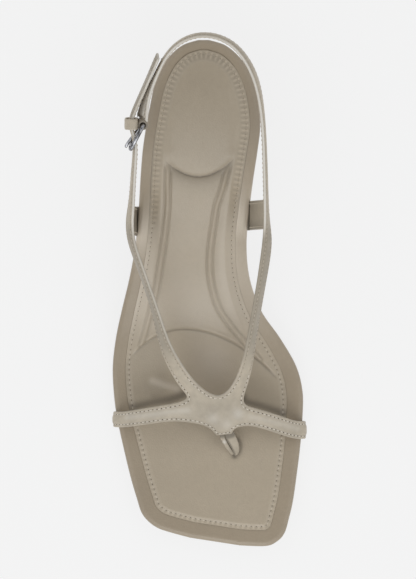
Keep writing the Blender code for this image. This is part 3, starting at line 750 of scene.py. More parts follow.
def leather(name, colour, edge=None, seam=False, rough=(0.33, 0.42), sheen=0.5, mottle=0.0):
    """Smooth leather: cloudy dye, fine pores, painted shade, pale cut edges with painted highlights, and
    puckers along a seam.
    """
    g = Graph(bpy.data.materials.new(name))
    at = g.place()
    cloud = g.noise(at, 26.0, 4.0)
    fleck = g.noise(at, 520.0)
    dye = g.tint(shade(colour, 0.94), cloud, 0.3, 0.7, 1.0, shade(colour, 1.05))
    dye = g.tint(dye, fleck, 0.35, 0.7, 0.22, shade(colour, 0.82))
    if mottle:
        patch = g.noise(at, 240.0)
        dye = g.tint(dye, patch, 0.5, 0.72, mottle, shade(colour, 1.3))
        dye = g.tint(dye, patch, 0.5, 0.3, mottle, shade(colour, 0.7))
    # Painted shade: the dye darkened by a mark where shade falls.
    dye = g.mix(g.mark("painted_shade"), dye, shade(colour, 0.42))
    # The edge colour by a mark: pale edge paint with painted highlights on the straps, painted light on the
    # sock, painted sheen on the rim.
    if edge is not None:
        dye = g.mix(g.mark("edge"), dye, edge)
    pores = g.cells(at, 1500.0)
    wrinkle = g.noise(at, 210.0, 6.0, 0.6, 0.8)
    height = g.maths("ADD", g.times(pores, 0.55), g.times(wrinkle, 0.9))
    if seam:
        # Puckers: painted light on their raised ridges and painted shade in their dips.
        wave = g.maths("COSINE", g.times(g.mark("seam"), 2.0 * math.pi))
        pucker = g.times(wave, g.mark("border"))
        dye = g.tint(dye, pucker, 0.1, -1.0, 0.45, shade(colour, 1.28))
        dye = g.tint(dye, pucker, 0.0, 1.0, 0.24, shade(colour, 0.6))
        height = g.maths("ADD", height, g.times(pucker, -0.75))
    g.bump(height, 0.09)
    gloss = g.span(g.noise(at, 70.0, 4.0), 0.3, 0.7, *rough)
    return g.finish(Base_Color=dye, Roughness=gloss, Coat_Weight=0.05, Coat_Roughness=0.3,
                    Specular_IOR_Level=sheen)


def rubber(name, colour):
    """Matt rubber, also used for the dark of a needle hole, which is painted shade."""
    g = Graph(bpy.data.materials.new(name))
    at = g.place()
    cloud = g.noise(at, 40.0, 5.0)
    dye = g.tint(shade(colour, 0.85), cloud, 0.3, 0.7, 1.0, shade(colour, 1.15))
    g.bump(g.maths("ADD", g.noise(at, 900.0), g.times(g.cells(at, 700.0), 0.5)), 0.12)
    gloss = g.span(g.noise(at, 120.0), 0.3, 0.7, 0.6, 0.8)
    return g.finish(Base_Color=dye, Roughness=gloss, Specular_IOR_Level=0.35)


def thread(name, colour):
    """Sewing thread with a slight fuzz."""
    g = Graph(bpy.data.materials.new(name))
    at = g.place()
    strands = g.noise(at, 1800.0, 2.0)
    dye = g.tint(shade(colour, 0.86), strands, 0.3, 0.7, 1.0, shade(colour, 1.08))
    g.bump(g.noise(at, 5200.0, 2.0), 0.06)
    return g.finish(Base_Color=dye, Roughness=0.7, Sheen_Weight=0.15)


def metal(name, colour):
    """Polished metal with uneven dark and bright patches, which are painted reflections."""
    g = Graph(bpy.data.materials.new(name))
    at = g.place()
    patch = g.noise(at, 300.0, 4.0)
    # Painted reflections: dark and bright patches of the metal's colour.
    dye = g.tint(shade(colour, 0.3), patch, 0.35, 0.7, 1.0, shade(colour, 2.0))
    g.bump(g.noise(at, 2600.0), 0.012)
    gloss = g.span(g.noise(at, 650.0, 4.0), 0.3, 0.7, 0.05, 0.12)
    return g.finish(Base_Color=dye, Roughness=gloss, Metallic=1.0)


# Edge colours: pale edge paint and painted highlight on the straps, painted light on the sock, painted
# sheen on the rim.
SOCK = leather("sock_leather", screen(177, 164, 144), edge=screen(206, 195, 179), seam=True)
RIM = leather("rim_leather", screen(161, 147, 127), edge=screen(210, 198, 180))
STRAPS = leather("strap_leather", screen(184, 173, 155), edge=screen(212, 207, 198),
                 rough=(0.42, 0.54), sheen=0.35, mottle=0.32)
COVER = leather("heel_leather", screen(164, 150, 130))
THREAD = thread("thread", screen(208, 200, 187))
# Needle hole colours, here and below, are painted shade inside the holes.
HOLE = rubber("needle_hole", screen(86, 76, 64))
QUIET_THREAD = thread("quiet_thread", screen(190, 179, 161))
QUIET_HOLE = rubber("quiet_hole", screen(146, 134, 116))
SOCK_THREAD = thread("sock_thread", screen(197, 186, 169))
SOCK_HOLE = rubber("sock_hole", screen(104, 94, 80))
HEEL_THREAD = thread("heel_thread", screen(172, 160, 141))
BOTTOM = rubber("outsole_rubber", screen(112, 98, 82))
TIP = rubber("top_piece_rubber", screen(72, 64, 58))
SILVER = metal("buckle_silver", screen(154, 154, 157))


# Pieces.

def new_object(name, data):
    """An object in the scene that holds a mesh, a light or a camera."""
    made = bpy.data.objects.new(name, data)
    bpy.context.scene.collection.objects.link(made)
    return made


def new_mesh(name, points, faces, marks=None):
    """A smooth mesh from points in millimetres, with numbers stored on its points."""
    mesh = bpy.data.meshes.new(name)
    placed = (np.array(points, dtype=float) - (CENTRE_X, CENTRE_Y, 0.0)) * MM
    mesh.from_pydata(placed.tolist(), [], faces)
    mesh.polygons.foreach_set("use_smooth", [True] * len(mesh.polygons))
    for key, values in (marks or {}).items():
        mark = mesh.attributes.new(key, "FLOAT", "POINT")
        mark.data.foreach_set("value", np.asarray(values, dtype=np.float32))
    mesh.update()
    return mesh


def new_piece(name, points, faces, materials, nodes=(), marks=None, sharp=None, indices=None):
    """A piece that rides on the shoe, and the solids it stands for."""
    mesh = new_mesh(name, points, faces, marks)
    for material in materials:
        mesh.materials.append(material)
    if indices is not None:
        mesh.polygons.foreach_set("material_index", indices)
    if sharp is not None:
        mesh.set_sharp_from_angle(angle=math.radians(sharp))
    made = new_object(name, mesh)
    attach(made, "root")
    if nodes:
        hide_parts(*nodes)
    return made


def carve(piece, cutters):
    """Cuts closed meshes out of a piece and keeps the result as its mesh."""
    tools = []
    for points, faces in cutters:
        tool = new_object("tool", new_mesh("tool", points, faces))
        step = piece.modifiers.new("cut", "BOOLEAN")
        step.object = tool
        step.operation = "DIFFERENCE"
        step.solver = "EXACT"
        tools.append(tool)
    depsgraph = bpy.context.evaluated_depsgraph_get()
    made = bpy.data.meshes.new_from_object(piece.evaluated_get(depsgraph))
    piece.modifiers.clear()
    old = piece.data
    piece.data = made
    bpy.data.meshes.remove(old)
    for tool in tools:
        shape = tool.data
        bpy.data.objects.remove(tool)
        bpy.data.meshes.remove(shape)
    made.set_sharp_from_angle(angle=math.radians(40.0))


# Straps.

def strap_edges(rows, spread=0.0):
    """Both edges of a strap at every section: (plus side, minus side)."""
    centres = [Vector((r.x, r.y, r.z)) for r in rows]
    edges = []
    for k, row in enumerate(rows):
        ahead = centres[min(k + 1, len(rows) - 1)]
        behind = centres[max(k - 1, 0)]
        along = (ahead - behind).normalized()
        lean, heading = math.radians(row.lean), math.radians(row.heading)
        face = Vector((
            math.sin(lean) * math.cos(heading),
            math.sin(lean) * math.sin(heading),
            math.cos(lean),
        ))
        across = along.cross(face).normalized() * (0.5 * row.width + spread)
        across.z += row.climb * across.y
        edges.append((centres[k] + across, centres[k] - across))
    return edges


def edge_x(side, y):
    """Where the footbed's edge lies at a station: side -1 lateral, +1 medial."""
    ribs = smooth_rows(FOOTBED_RIBS, 4)
    column = 0 if side < 0 else 2
    order = np.argsort(ribs[:, column + 1])
    return float(np.interp(y, ribs[order, column + 1], ribs[order, column]))


def tucked(rows, side):
    """A strap's sections carried on down the footbed's edge and under it."""
    last = rows[-1]
    x, low = edge_x(side, last.y), float(feather(last.y))
    heading = 0 if side > 0 else 180
    climb = float(feather(last.y + 1.0) - feather(last.y - 1.0)) / 2.0
    return rows + [
        Strap(x + side * tuck.outward, last.y, low + tuck.rise, last.width, tuck.lean, heading, climb)
        for tuck in TUCK_UNDER
    ]


def strip_cage(rows, spread=0.0):
    """A strap on its own as a strip of quads."""
    faces = [(2 * k, 2 * k + 2, 2 * k + 3, 2 * k + 1) for k in range(len(rows) - 1)]
    return stacked(strap_edges(rows, spread)), faces


def upper_cage():
    """The plate as a five-sided patch with a limb of strap sections from each side."""
    names = ["lateral_back", "lateral_front", "medial_front", "medial_back", "throat"]
    points = [PLATE_CORNERS[n] for n in names]
    faces = [(0, 1, 2, 3, 4)]
    limbs = [
        (tucked(LATERAL_ARM, -1), 0, 1),
        (PLATE_TIP, 1, 2),
        (tucked(MEDIAL_ARM, 1), 2, 3),
        (MEDIAL_STRAP, 3, 4),
        (LATERAL_STRAP, 4, 0),
    ]
    for rows, plus, minus in limbs:
        for high, low in strap_edges(rows):
            first = len(points)
            points.extend([tuple(high), tuple(low)])
            faces.append((plus, first, first + 1, minus))
            plus, minus = first, first + 1
    return points, faces


def smooth_sheet(cage, levels):
    """The subdivided sheet of a cage, with narrow rings of faces along its border."""
    points, faces = cage
    mesh = bpy.data.meshes.new("cage")
    mesh.from_pydata(points, [], faces)
    holder = new_object("cage", mesh)
    step = holder.modifiers.new("smooth", "SUBSURF")
    step.levels = levels
    step.render_levels = levels
    step.boundary_smooth = "PRESERVE_CORNERS"
    depsgraph = bpy.context.evaluated_depsgraph_get()
    evaluated = holder.evaluated_get(depsgraph)
    sheet = bmesh.new()
    sheet.from_mesh(evaluated.to_mesh())
    evaluated.to_mesh_clear()
    bpy.data.objects.remove(holder)
    bpy.data.meshes.remove(mesh)
    core = list(sheet.faces)
    for width in STRAP_BORDER_RINGS:
        bmesh.ops.inset_region(sheet, faces=core, use_boundary=True, use_even_offset=True,
                               thickness=width)
    sheet.normal_update()
    sheet.verts.index_update()
    return sheet


def border_order(sheet):
    """The numbers of a sheet's border points, once round."""
    follow = {}
    for edge in sheet.edges:
        if edge.is_boundary:
            loop = edge.link_loops[0]
            follow[loop.vert.index] = loop.link_loop_next.vert.index
    order = [min(follow)]
    while follow[order[-1]] != order[0]:
        order.append(follow[order[-1]])
    return order


def strap_profile(reach, half, crown):
    """How far a strap's face and its lining stand off its middle sheet, by distance from its border."""
    round_edge = np.sqrt(1.0 - np.square(1.0 - np.minimum(reach, half) / half)) * half
    rising = past(reach, 0.0, half)
    face_groove = STRAP_GROOVE_DEPTH * near(reach, STRAP_STITCH_INSET, 0.55)
    lining_groove = LINING_GROOVE_DEPTH * near(reach, STRAP_STITCH_INSET, 0.5)
    pillow = crown * past(reach, 0.6, 2.6) - face_groove
    return round_edge + pillow * rising, round_edge - lining_groove * rising


Shell = namedtuple("Shell", "points faces edge lining border_points border_normals")


def strap_shell(cage, outward, levels=4, thickness=STRAP_THICKNESS, crown=STRAP_CROWN):
    """A leather strap with rounded edges round a sheet, and its border for the stitching."""
    sheet = smooth_sheet(cage, levels)
    points = np.array([v.co for v in sheet.verts])
    normals = np.array([v.normal for v in sheet.verts])
    faces = [[v.index for v in f.verts] for f in sheet.faces]
    order = border_order(sheet)
    sheet.free()
    if np.dot(normals, outward).sum() < 0:
        normals = -normals
        faces = [f[::-1] for f in faces]
        order = order[::-1]
    border = points[order]
    reach = border_distance(points, border)
    reach[order] = 0.0
    face, lining = strap_profile(reach, 0.5 * thickness, crown)
    made = np.vstack([points + normals * face[:, None], points - normals * lining[:, None]])

    # The lining shares the border's points, so its own copies of them are left out.
    count = len(points)
    under = np.arange(count) + count
    under[order] = order
    used = np.zeros(2 * count, dtype=bool)
    used[:count] = True
    used[under] = True
    renumber = np.cumsum(used) - 1
    shell = faces + [[under[i] for i in f[::-1]] for f in faces]
    shell = [tuple(int(renumber[i]) for i in f) for f in shell]
    painted = np.tile(past(reach, 0.3, -0.25), 2)[used]
    inside = np.repeat([0.0, 1.0], count)[used]
    return Shell(made[used], shell, painted, inside, border, normals[order])


def joined(shells):
    """Several shells as one set of points and faces, with their edge and lining marks."""
    faces, first = [], 0
    for shell in shells:
        faces += renumbered(shell.faces, first)
        first += len(shell.points)
    points, edge, lining = [
        np.concatenate([getattr(shell, column) for shell in shells])
        for column in ("points", "edge", "lining")
    ]
    return points, faces, edge, lining


def surface_tree(points, faces):
    """A surface that rays can be cast on."""
    return BVHTree.FromPolygons([tuple(p) for p in points], faces)


# Stitching.

def stitch_shape(length, width, height):
    """One stitch: a rounded grain along x whose ends dive under the surface."""
    rings = []
    for t in np.linspace(-1.0, 1.0, 9):
        swell = max(0.12, math.sqrt(max(0.0, 1.0 - abs(t) ** 3)))
        centre = height * (0.35 - 0.75 * t * t)
        rings.append([
            (0.5 * length * t, 0.5 * width * swell * a, centre + 0.5 * height * swell * b)
            for a, b in oval(1.0, 1.0, 2.0, 8)
        ])
    return loft(rings)


def needle_hole(radius, rise=0.045, depth=0.2, sides=10):
    """A shallow dark dent between two stitches: a flat lens whose dark is painted shade inside the hole."""
    ring = [(x, y, 0.0) for x, y in oval(radius, radius * 0.8, 2.0, sides)]
    points = ring + [(0.0, 0.0, rise), (0.0, 0.0, -depth)]
    faces = []
    for k in range(sides):
        nxt = (k + 1) % sides
        faces.append((k, nxt, sides))
        faces.append((nxt, k, sides + 1))
    return points, faces


class Stitching:
    """Rows of stitches gathered into one piece. Its colours are thread, hole, quiet thread, quiet hole."""

    THREAD, HOLE, QUIET = 0, 1, 2
    CHORD = 0.2
    RAY_START, RAY_LENGTH = 3.0, 6.0

    def __init__(self, length, width, height, hole):
        self.shapes = [stitch_shape(length, width, height), needle_hole(hole)]
        self.points, self.faces, self.indices = [], [], []

    def put(self, kind, spot, along, normal, tone):
        normal = Vector(normal).normalized()
        side = normal.cross(along).normalized()
        along = side.cross(normal)
        turn = np.array([along, side, normal])
        shape, faces = self.shapes[kind]
        self.faces += renumbered(faces, len(self.points))
        self.points.extend(map(tuple, np.array(shape) @ turn + np.array(spot)))
        self.indices += [kind + tone] * len(faces)

    def run(self, path, normals, pitch, tree, closed=False, keep=None, quiet=None):
        """Needle holes and stitches by turns at even steps along a path, laid on a surface."""
        if closed:
            path, normals = looped(path), looped(normals)
        lengths = path_lengths(path)
        steps = max(1, int(round(lengths[-1] / pitch)))
        for half in range(2 * steps + (0 if closed else 1)):
            at = lengths[-1] * half / (2 * steps)
            spot, ahead, behind = [
                Vector(read_path(path, lengths, at + shift)) for shift in (0.0, self.CHORD, -self.CHORD)
            ]
            normal = Vector(read_path(normals, lengths, at)).normalized()
            if keep is not None and not keep(spot):
                continue
            hit, facing, _, _ = tree.ray_cast(spot + normal * self.RAY_START, -normal, self.RAY_LENGTH)
            if hit is None:
                continue
            kind = self.THREAD if half % 2 else self.HOLE
            tone = self.QUIET if quiet is not None and quiet(spot) else 0
            along = (ahead - behind).normalized()
            self.put(kind, hit, along, facing if facing.dot(normal) > 0.5 else normal, tone)

    def piece(self, name, slot, colours):
        return new_piece(name, self.points, self.faces, colours, indices=self.indices)


def border_runs(shell, inset, slack=0.12):
    """Paths along a shell's border, moved inward, without the parts that cross at the strap ends."""
    border, normals = shell.border_points, shell.border_normals
    along = unit(np.roll(border, -1, axis=0) - np.roll(border, 1, axis=0))
    path = border + np.cross(normals, along) * inset
    good = border_distance(path, border) > inset - slack
    start = int(np.argmin(good))
    runs, current = [], []
    for k in range(len(path) + 1):
        i = (start + k) % len(path)
        if good[i] and k < len(path):
            current.append(i)
        elif current:
            runs.append(current)
            current = []
    return [(path[r], normals[r]) for r in runs if len(r) > 3]


def above_footbed(spot):
    """Where a strap is in sight, not beside or under the footbed."""
    return spot.z > float(feather(spot.y)) + FOOTBED_THICKNESS - 0.5


def behind_plate(spot):
    """Where the straps' stitches hardly show: the side straps and the sling."""
    return spot.y > PLATE_BACK_Y


# Upper.

def free_end(x, y):
    """1 on the strap's free end past the keeper, 0 elsewhere."""
    tail, sling = [[(r.x, r.y) for r in rows[-6:]] for rows in (LATERAL_STRAP, MEDIAL_STRAP)]
    on_tail = line_distance(x, y, tail) + 1.2 < line_distance(x, y, sling)
    return on_tail * past(y, KEEPER_BACK_Y, 3.0)


def edge_paint_and_highlight(x, y):
    """How pale the cut edge is by place, partly edge paint and partly painted highlight: full on the sling,
    less on the outer side strap and plate.
    """
    back = past(y, 22.0, 10.0)
    front = past(y, -36.0, -10.0)
    sling = 1.0 - 0.5 * past(y, 108.0, 6.0) - 0.5 * free_end(x, y)
    sides = np.where(x < 0.0, 0.45, 0.0) * (1.0 - front) + 0.25 * front
    return back * sling + (1.0 - back) * sides


def strap_shade(x, y):
    """Painted shade on the straps' faces: on the plate, the side straps, the free end and along the front
    edge.
    """
    sides = past(y, -38.0, 16.0) * past(y, 34.0, -8.0)
    return 0.5 * sides + 0.5 * free_end(x, y) + glow(x, y, STRAP_SHADES, PLATE_SHADE)


def strap_marks(points, edge, lining, on_tab):
    """Pale edges and painted highlights of the straps, and painted shade on the edges and lining under the
    plate's tip, on the tabs' linings and on the faces.
    """
    x, y = points[:, 0], points[:, 1]
    # Painted shade under the plate's tip, beside the toe post.
    tip = past(y, -66.0, -1.5) * past(np.abs(x - 7.8), 5.5, -1.5)
    pale = edge * edge_paint_and_highlight(x, y) * (1.0 - tip)
    painted_shade = np.maximum(0.9 * edge, 0.7 * lining) * tip
    # Painted shade on the tabs' linings: deepest on the outer tab, and on the inner tab near the footbed.
    painted_shade += on_tab * lining * np.where(x < 0.0, 0.85, 0.6 - 0.5 * past(x, 18.5, 7.0))
    painted_shade += (1.0 - pale) * strap_shade(x, y)
    # Painted highlights on the faces from the strap and plate lights.
    pale = np.maximum(pale, (1.0 - lining) * glow(x, y, STRAP_LIGHTS, PLATE_LIGHTS))
    return {"edge": pale, "painted_shade": np.clip(painted_shade, 0.0, 1.0)}


def build_upper():
    """The straps and tabs as one piece, and their stitching on both sides."""
    shells = [
        strap_shell(upper_cage(), (0.0, 0.0, 1.0)),
        strap_shell(strip_cage(tucked(LATERAL_TAB, -1)), (-1.0, 0.0, 0.0)),
        strap_shell(strip_cage(tucked(MEDIAL_TAB, 1)), (1.0, 0.0, 0.0)),
    ]
    points, faces, edge, lining = joined(shells)
    on_tab = np.arange(len(points)) >= len(shells[0].points)
    marks = strap_marks(points, edge, lining, on_tab)
    new_piece("upper_straps", points, faces, [STRAPS], ["upper"], marks)
    sewing = Stitching(length=1.5, width=0.58, height=0.34, hole=0.34)
    for shell in shells:
        tree = surface_tree(shell.points, shell.faces)
        for path, normals in border_runs(shell, STRAP_STITCH_INSET):
            for side in (normals, -normals):
                sewing.run(path, side, STRAP_STITCH_PITCH, tree, keep=above_footbed, quiet=behind_plate)
    sewing.piece("strap_stitching", "strap_leather", [THREAD, HOLE, QUIET_THREAD, QUIET_HOLE])


def build_strand(name, rows, dark_side):
    """A rolled strand of the toe post, with painted shade under the plate and on the side that faces the
    other strand, and a painted highlight spot on the narrow one.
    """
    rings, dark = [], []
    for x, y, z, across, along, turn in smooth_rows(rows, 8)[::-1]:
        spin = Matrix.Rotation(math.radians(turn), 3, "Z")
        outline = oval(across, along, STRAND_SQUARENESS, STRAND_SIDES)
        rings.append([spin @ Vector((a, b, 0.0)) + Vector((x, y, z)) for a, b in outline])
        plate_shadow = 0.12 + 0.85 * past(y, -69.6, 1.6)
        dark.extend(max(plate_shadow, 0.85 * past(dark_side * a / across, 0.4, 0.4)) for a, _ in outline)
    points, faces = loft(rings)
    x, y, _ = np.array(points).T
    # Painted highlight spot on the narrow strand, and the painted shade.
    marks = {"edge": glow(x, y, [], [Spot(7.7, -71.6, 0.9, 0.9, 0.8)]), "painted_shade": np.array(dark)}
    new_piece(name, points, faces, [STRAPS], marks=marks)


# Footbed.

def footbed_slots():
    """Closed meshes of the room that the strap ends need in the footbed's edge."""
    slots = []
    for rows, side in [(LATERAL_ARM, -1), (MEDIAL_ARM, 1), (LATERAL_TAB, -1), (MEDIAL_TAB, 1)]:
        rows = tucked(rows[-2:], side)
        longer = rows + [rows[-1]._replace(x=rows[-1].x - side * 2 * PIECE_GAP)]
        shell = strap_shell(strip_cage(longer, PIECE_GAP), (side, 0.0, 0.0), 3,
                            STRAP_THICKNESS + 2 * PIECE_GAP, 0.0)
        slots.append((shell.points, shell.faces))
    return slots


def build_footbed():
    """The leather-wrapped board with its crowned rim, painted shade and painted sheen on it, and slots
    where the straps go under.
    """
    ribs = smooth_rows(FOOTBED_RIBS, 8)
    width = rim_width(sole_ring(ribs, 0.0))
    shoulder = FOOTBED_WALL[-1].inset
    levels = [(inset, rise, 0.0) for inset, rise in smooth_rows(FOOTBED_WALL, 5)]
    for part, lift, dark in RIM_LEVELS:
        levels.append((shoulder + (width - shoulder) * part, FOOTBED_THICKNESS + lift, dark))
    rings, painted_shade, pale = [], [], []
    for inset, rise, dark in levels:
        ring = sole_ring(ribs, inset)
        x, y = ring.T
        rings.append(np.column_stack([ring, feather(y) + rise]))
        # Painted shade under the sling at the heel and in the gap beside the sock, strongest at the waist.
        painted_shade.extend(0.3 * near(y, 80.0, 16.0) + dark * (0.1 + 0.9 * near(y, 48.0, 24.0)))
        # Painted sheen on the rim: on the inner waist and in a narrower band on the outer waist.
        medial = np.maximum(0.55 * near(y, 8.0, 22.0), near(y, 33.0, 11.0))
        pale.extend(np.where(x > 0.0, medial, 0.75 * near(y, 28.0, 11.0)))
    points, faces = sole_block(rings)
    piece = new_piece("footbed_rim", points, faces, [RIM], ["footbed"],
                      {"painted_shade": painted_shade, "edge": pale})
    carve(piece, footbed_slots())


# Sock. Each form gives a height over the base and a depth of painted shade.

def behind_curve(x, y, tip, bend):
    """How far points lie behind a curve that bends to the heel, or for a bend below 0 to the toe."""
    off = x - tip[0]
    return (y - tip[1] - bend * off ** 2) / np.hypot(1.0, 2.0 * bend * off)


def border_form(y, edge):
    """The sock's rounded border with its stitching groove, and painted shade in the groove and over its
    heel end.
    """
    height = SOCK_EDGE_HEIGHT + (INSOLE_EDGE - SOCK_EDGE_HEIGHT) * past(edge, -0.2, 3.6)
    height -= SOCK_GROOVE_DEPTH * near(edge, SOCK_STITCH_INSET, 0.7)
    dark = 0.06 * near(edge, SOCK_STITCH_INSET, 0.6)
    return height, dark + 0.22 * past(y, 48.0, 14.0) - 0.04 * past(y, 96.0, 8.0)


def arch_form(x, edge, arc, behind, inner):
    """The arch pad, which stands higher than the forefoot, with a lip and a dark line of painted shade at
    its front edge.
    """
    height = ARCH_PAD_RISE * behind * inner + FOREFOOT_CROWN * (1.0 - behind) * past(edge, 0.0, 14.0)
    height += ARCH_LIP * near(arc, 1.1, 0.8) * inner
    dark = (0.3 + 0.3 * past(x, -24.0, 8.0)) * near(arc, -0.62, 0.42) * inner
    return height, dark


def heel_form(x, y, edge, front):
    """The fold in front of the heel pad, a hollow, a sharp line and a rolled edge, and the pad's dome;
    painted shade along the line and in the hollow.
    """
    fold = past(x, -20.5, 4.5) * past(x, 13.5, -4.5)
    line = past(x, -17.2, 4.5) * past(x, 8.2, -5.5)
    before, after = np.minimum(front, 0.0), np.maximum(front, 0.0)
    height = -FOLD_DEPTH * fold * np.where(front < 0.0, np.exp(before / 2.6), np.exp(-after / 0.9))
    height += FOLD_ROLL * fold * (1.0 - np.exp(-after / 3.0))
    height -= FOLD_LINE_DEPTH * line * near(front, 0.0, 0.5)
    dome = np.hypot((x - HEEL_DOME.x) / HEEL_DOME.across, (y - HEEL_DOME.y) / HEEL_DOME.along)
    height += HEEL_DOME.share * np.square(np.maximum(0.0, 1.0 - dome * dome))
    height += HEEL_PAD_RISE * past(front, 3.0, 8.0) * past(edge, 2.5, 6.0)
    shaded = np.where(front < 0.0, np.exp(before / 4.5), 0.0)
    return height, 0.62 * line * near(front, 0.0, 0.36) + 0.64 * fold * shaded


def piping_form(x, y, shown):
    """Piping on the arch pad: a raised cord between two grooves, with painted shade in the grooves."""
    height, dark = np.zeros(x.shape), np.zeros(x.shape)
    for path in (LATERAL_PIPING, MEDIAL_PIPING):
        away = line_distance(x, y, path)
        groove = near(away, PIPING_GROOVE_PLACE, PIPING_GROOVE_WIDTH)
        cord = near(away, 0.0, PIPING_WIDTH)
        height += shown * (PIPING_HEIGHT * cord - PIPING_GROOVE_DEPTH * groove)
        dark += 0.32 * shown * groove
    return height, dark


def sock_shade(x, y, edge, behind):
    """Shade at the waist's border, on the forefoot's sides, beside the arms and round the toe post."""
    waist = np.where(x < 0.0, 0.5, 0.35) * near(y, 48.0, 18.0) * near(edge, 0.0, 0.8)
    lateral = 0.26 * past(x, -16.0, -6.0) * past(y, -52.0, 6.0)
    medial = 0.14 * past(x, 14.0, 6.0) * past(y, -56.0, 6.0)
    return waist + (lateral + medial) * (1.0 - behind) + glow(x, y, SOCK_SHADES, POST_FOOT_SHADE)


def sock_light(x, y, behind):
    """Painted light beside the piping, on the arch pad's front and the wrinkle, in the throat and on the
    shank.
    """
    lateral, medial = [
        np.interp(y, [row[1] for row in path[::-1]], [row[0] for row in path[::-1]])
        for path in (LATERAL_PIPING, MEDIAL_PIPING)
    ]
    flanks = 0.36 * past(x, medial + 2.5, 3.0) * near(y, 15.0, 26.0)
    flanks += 0.45 * past(x, lateral - 1.8, -2.2) * near(y, 8.0, 24.0)
    pad_front = 0.3 * behind * near(y, -8.0, 12.0)
    return flanks + pad_front + glow(x, y, SOCK_LIGHTS, THROAT_AND_SHANK_LIGHTS)


def sock_surface(x, y, edge):
    """Height over the sock's base, painted shade and painted light, at points a distance from its edge."""
    bend = np.where(x < ARCH_EDGE_TIP[0], ARCH_BEND_LATERAL, ARCH_BEND_MEDIAL)
    arc = behind_curve(x, y, ARCH_EDGE_TIP, bend)
    front = behind_curve(x, y, FOLD_TIP, FOLD_BEND)
    behind = past(arc, -0.5, 1.0)
    inner = past(edge, 2.2, 3.0)
    forms = [
        border_form(y, edge),
        arch_form(x, edge, arc, behind, inner),
        heel_form(x, y, edge, front),
        piping_form(x, y, behind * past(front, -0.2, -3.0) * inner),
        (glow(x, y, [], SOCK_BUMPS), sock_shade(x, y, edge, behind)),
    ]
    height, dark = [sum(column) for column in zip(*forms)]
    return height, np.clip(dark, 0.0, 1.0), np.clip(sock_light(x, y, behind), 0.0, 1.0)


def dense_near(rows, zones):
    """Every row inside the zones along the shoe and every fifth row elsewhere."""
    kept = []
    for k, row in enumerate(rows):
        y = 0.5 * (row[1] + row[3])
        if k % 5 == 0 or k == len(rows) - 1 or any(low < y < high for low, high in zones):
            kept.append(row)
    return np.array(kept)


def sock_grid(lateral, medial):
    """Rows of points from the sock's lateral to its medial edge, closer together at its border."""
    rows = []
    for left, right in zip(lateral, medial):
        span = np.linalg.norm(right - left)
        squeeze = min(1.0, 0.4 * span / SOCK_BORDER_STEPS[-1])
        border = np.array(SOCK_BORDER_STEPS) * squeeze / span
        middle = np.linspace(border[-1], 1.0 - border[-1], SOCK_COLUMNS)[1:-1]
        share = np.concatenate([border, middle, 1.0 - border[::-1]])
        rows.append(left + (right - left) * share[:, None])
    return np.array(rows)


def sock_faces(rows, across):
    """The border of a grid, once round, and faces of its top, its wall and its underside."""
    faces = []
    for r in range(rows - 1):
        for c in range(across - 1):
            low = r * across + c
            faces.append((low, low + across, low + across + 1, low + 1))
    last = (rows - 1) * across
    border = list(range(across - 1, 0, -1))
    border += [r * across for r in range(rows)]
    border += range(last + 1, last + across)
    border += [r * across + across - 1 for r in range(rows - 2, 0, -1)]
    lower = {i: rows * across + k for k, i in enumerate(border)}
    for i, j in zip(border, border[1:] + border[:1]):
        faces.append((i, lower[i], lower[j], j))
    for r in range(rows - 1):
        left = [r * across, (r + 1) * across]
        right = [(r + 2) * across - 1, (r + 1) * across - 1]
        if r == 0:
            right += range(across - 2, 0, -1)
        if r == rows - 2:
            left += range(last + 1, last + across - 1)
        faces.append(tuple(lower[i] for i in (left + right)[::-1]))
    return border, faces


def heel_seam_start(x):
    """The station from which the sock's border puckers more, further back on the inner side."""
    return np.where(x < 0.0, HEEL_SEAM_LATERAL_Y, HEEL_SEAM_MEDIAL_Y)


def at_heel_seam(spot):
    """Where the sock's thread hardly shows: among the puckers round the heel."""
    return spot.y > heel_seam_start(spot.x) + 6.0


def pucker_band(x, y, edge):
    """How much the seam puckers the leather: most and widest round the heel, less at the toe."""
    heel = past(y, heel_seam_start(x), 12.0)
    toe = 0.75 * past(y, -62.0, -14.0)
    strength = 0.4 + 0.6 * np.maximum(heel, toe)
    return strength * past(edge, 0.3, 0.7) * past(edge, 2.7 + 1.7 * heel, -0.9 - 0.5 * heel)


def seam_count(places, path):
    """How many stitches along an even closed path lie before the point of it nearest to each place."""
    which, _ = nearest(places, path)
    chord = np.roll(path, -2, axis=0) - np.roll(path, 2, axis=0)
    step = float(np.mean(np.linalg.norm(chord, axis=1))) / 4.0
    at = which * step + np.sum((places - path[which]) * unit(chord)[which], axis=1)
    length = len(path) * step
    return at / length * round(length / SOCK_STITCH_PITCH)


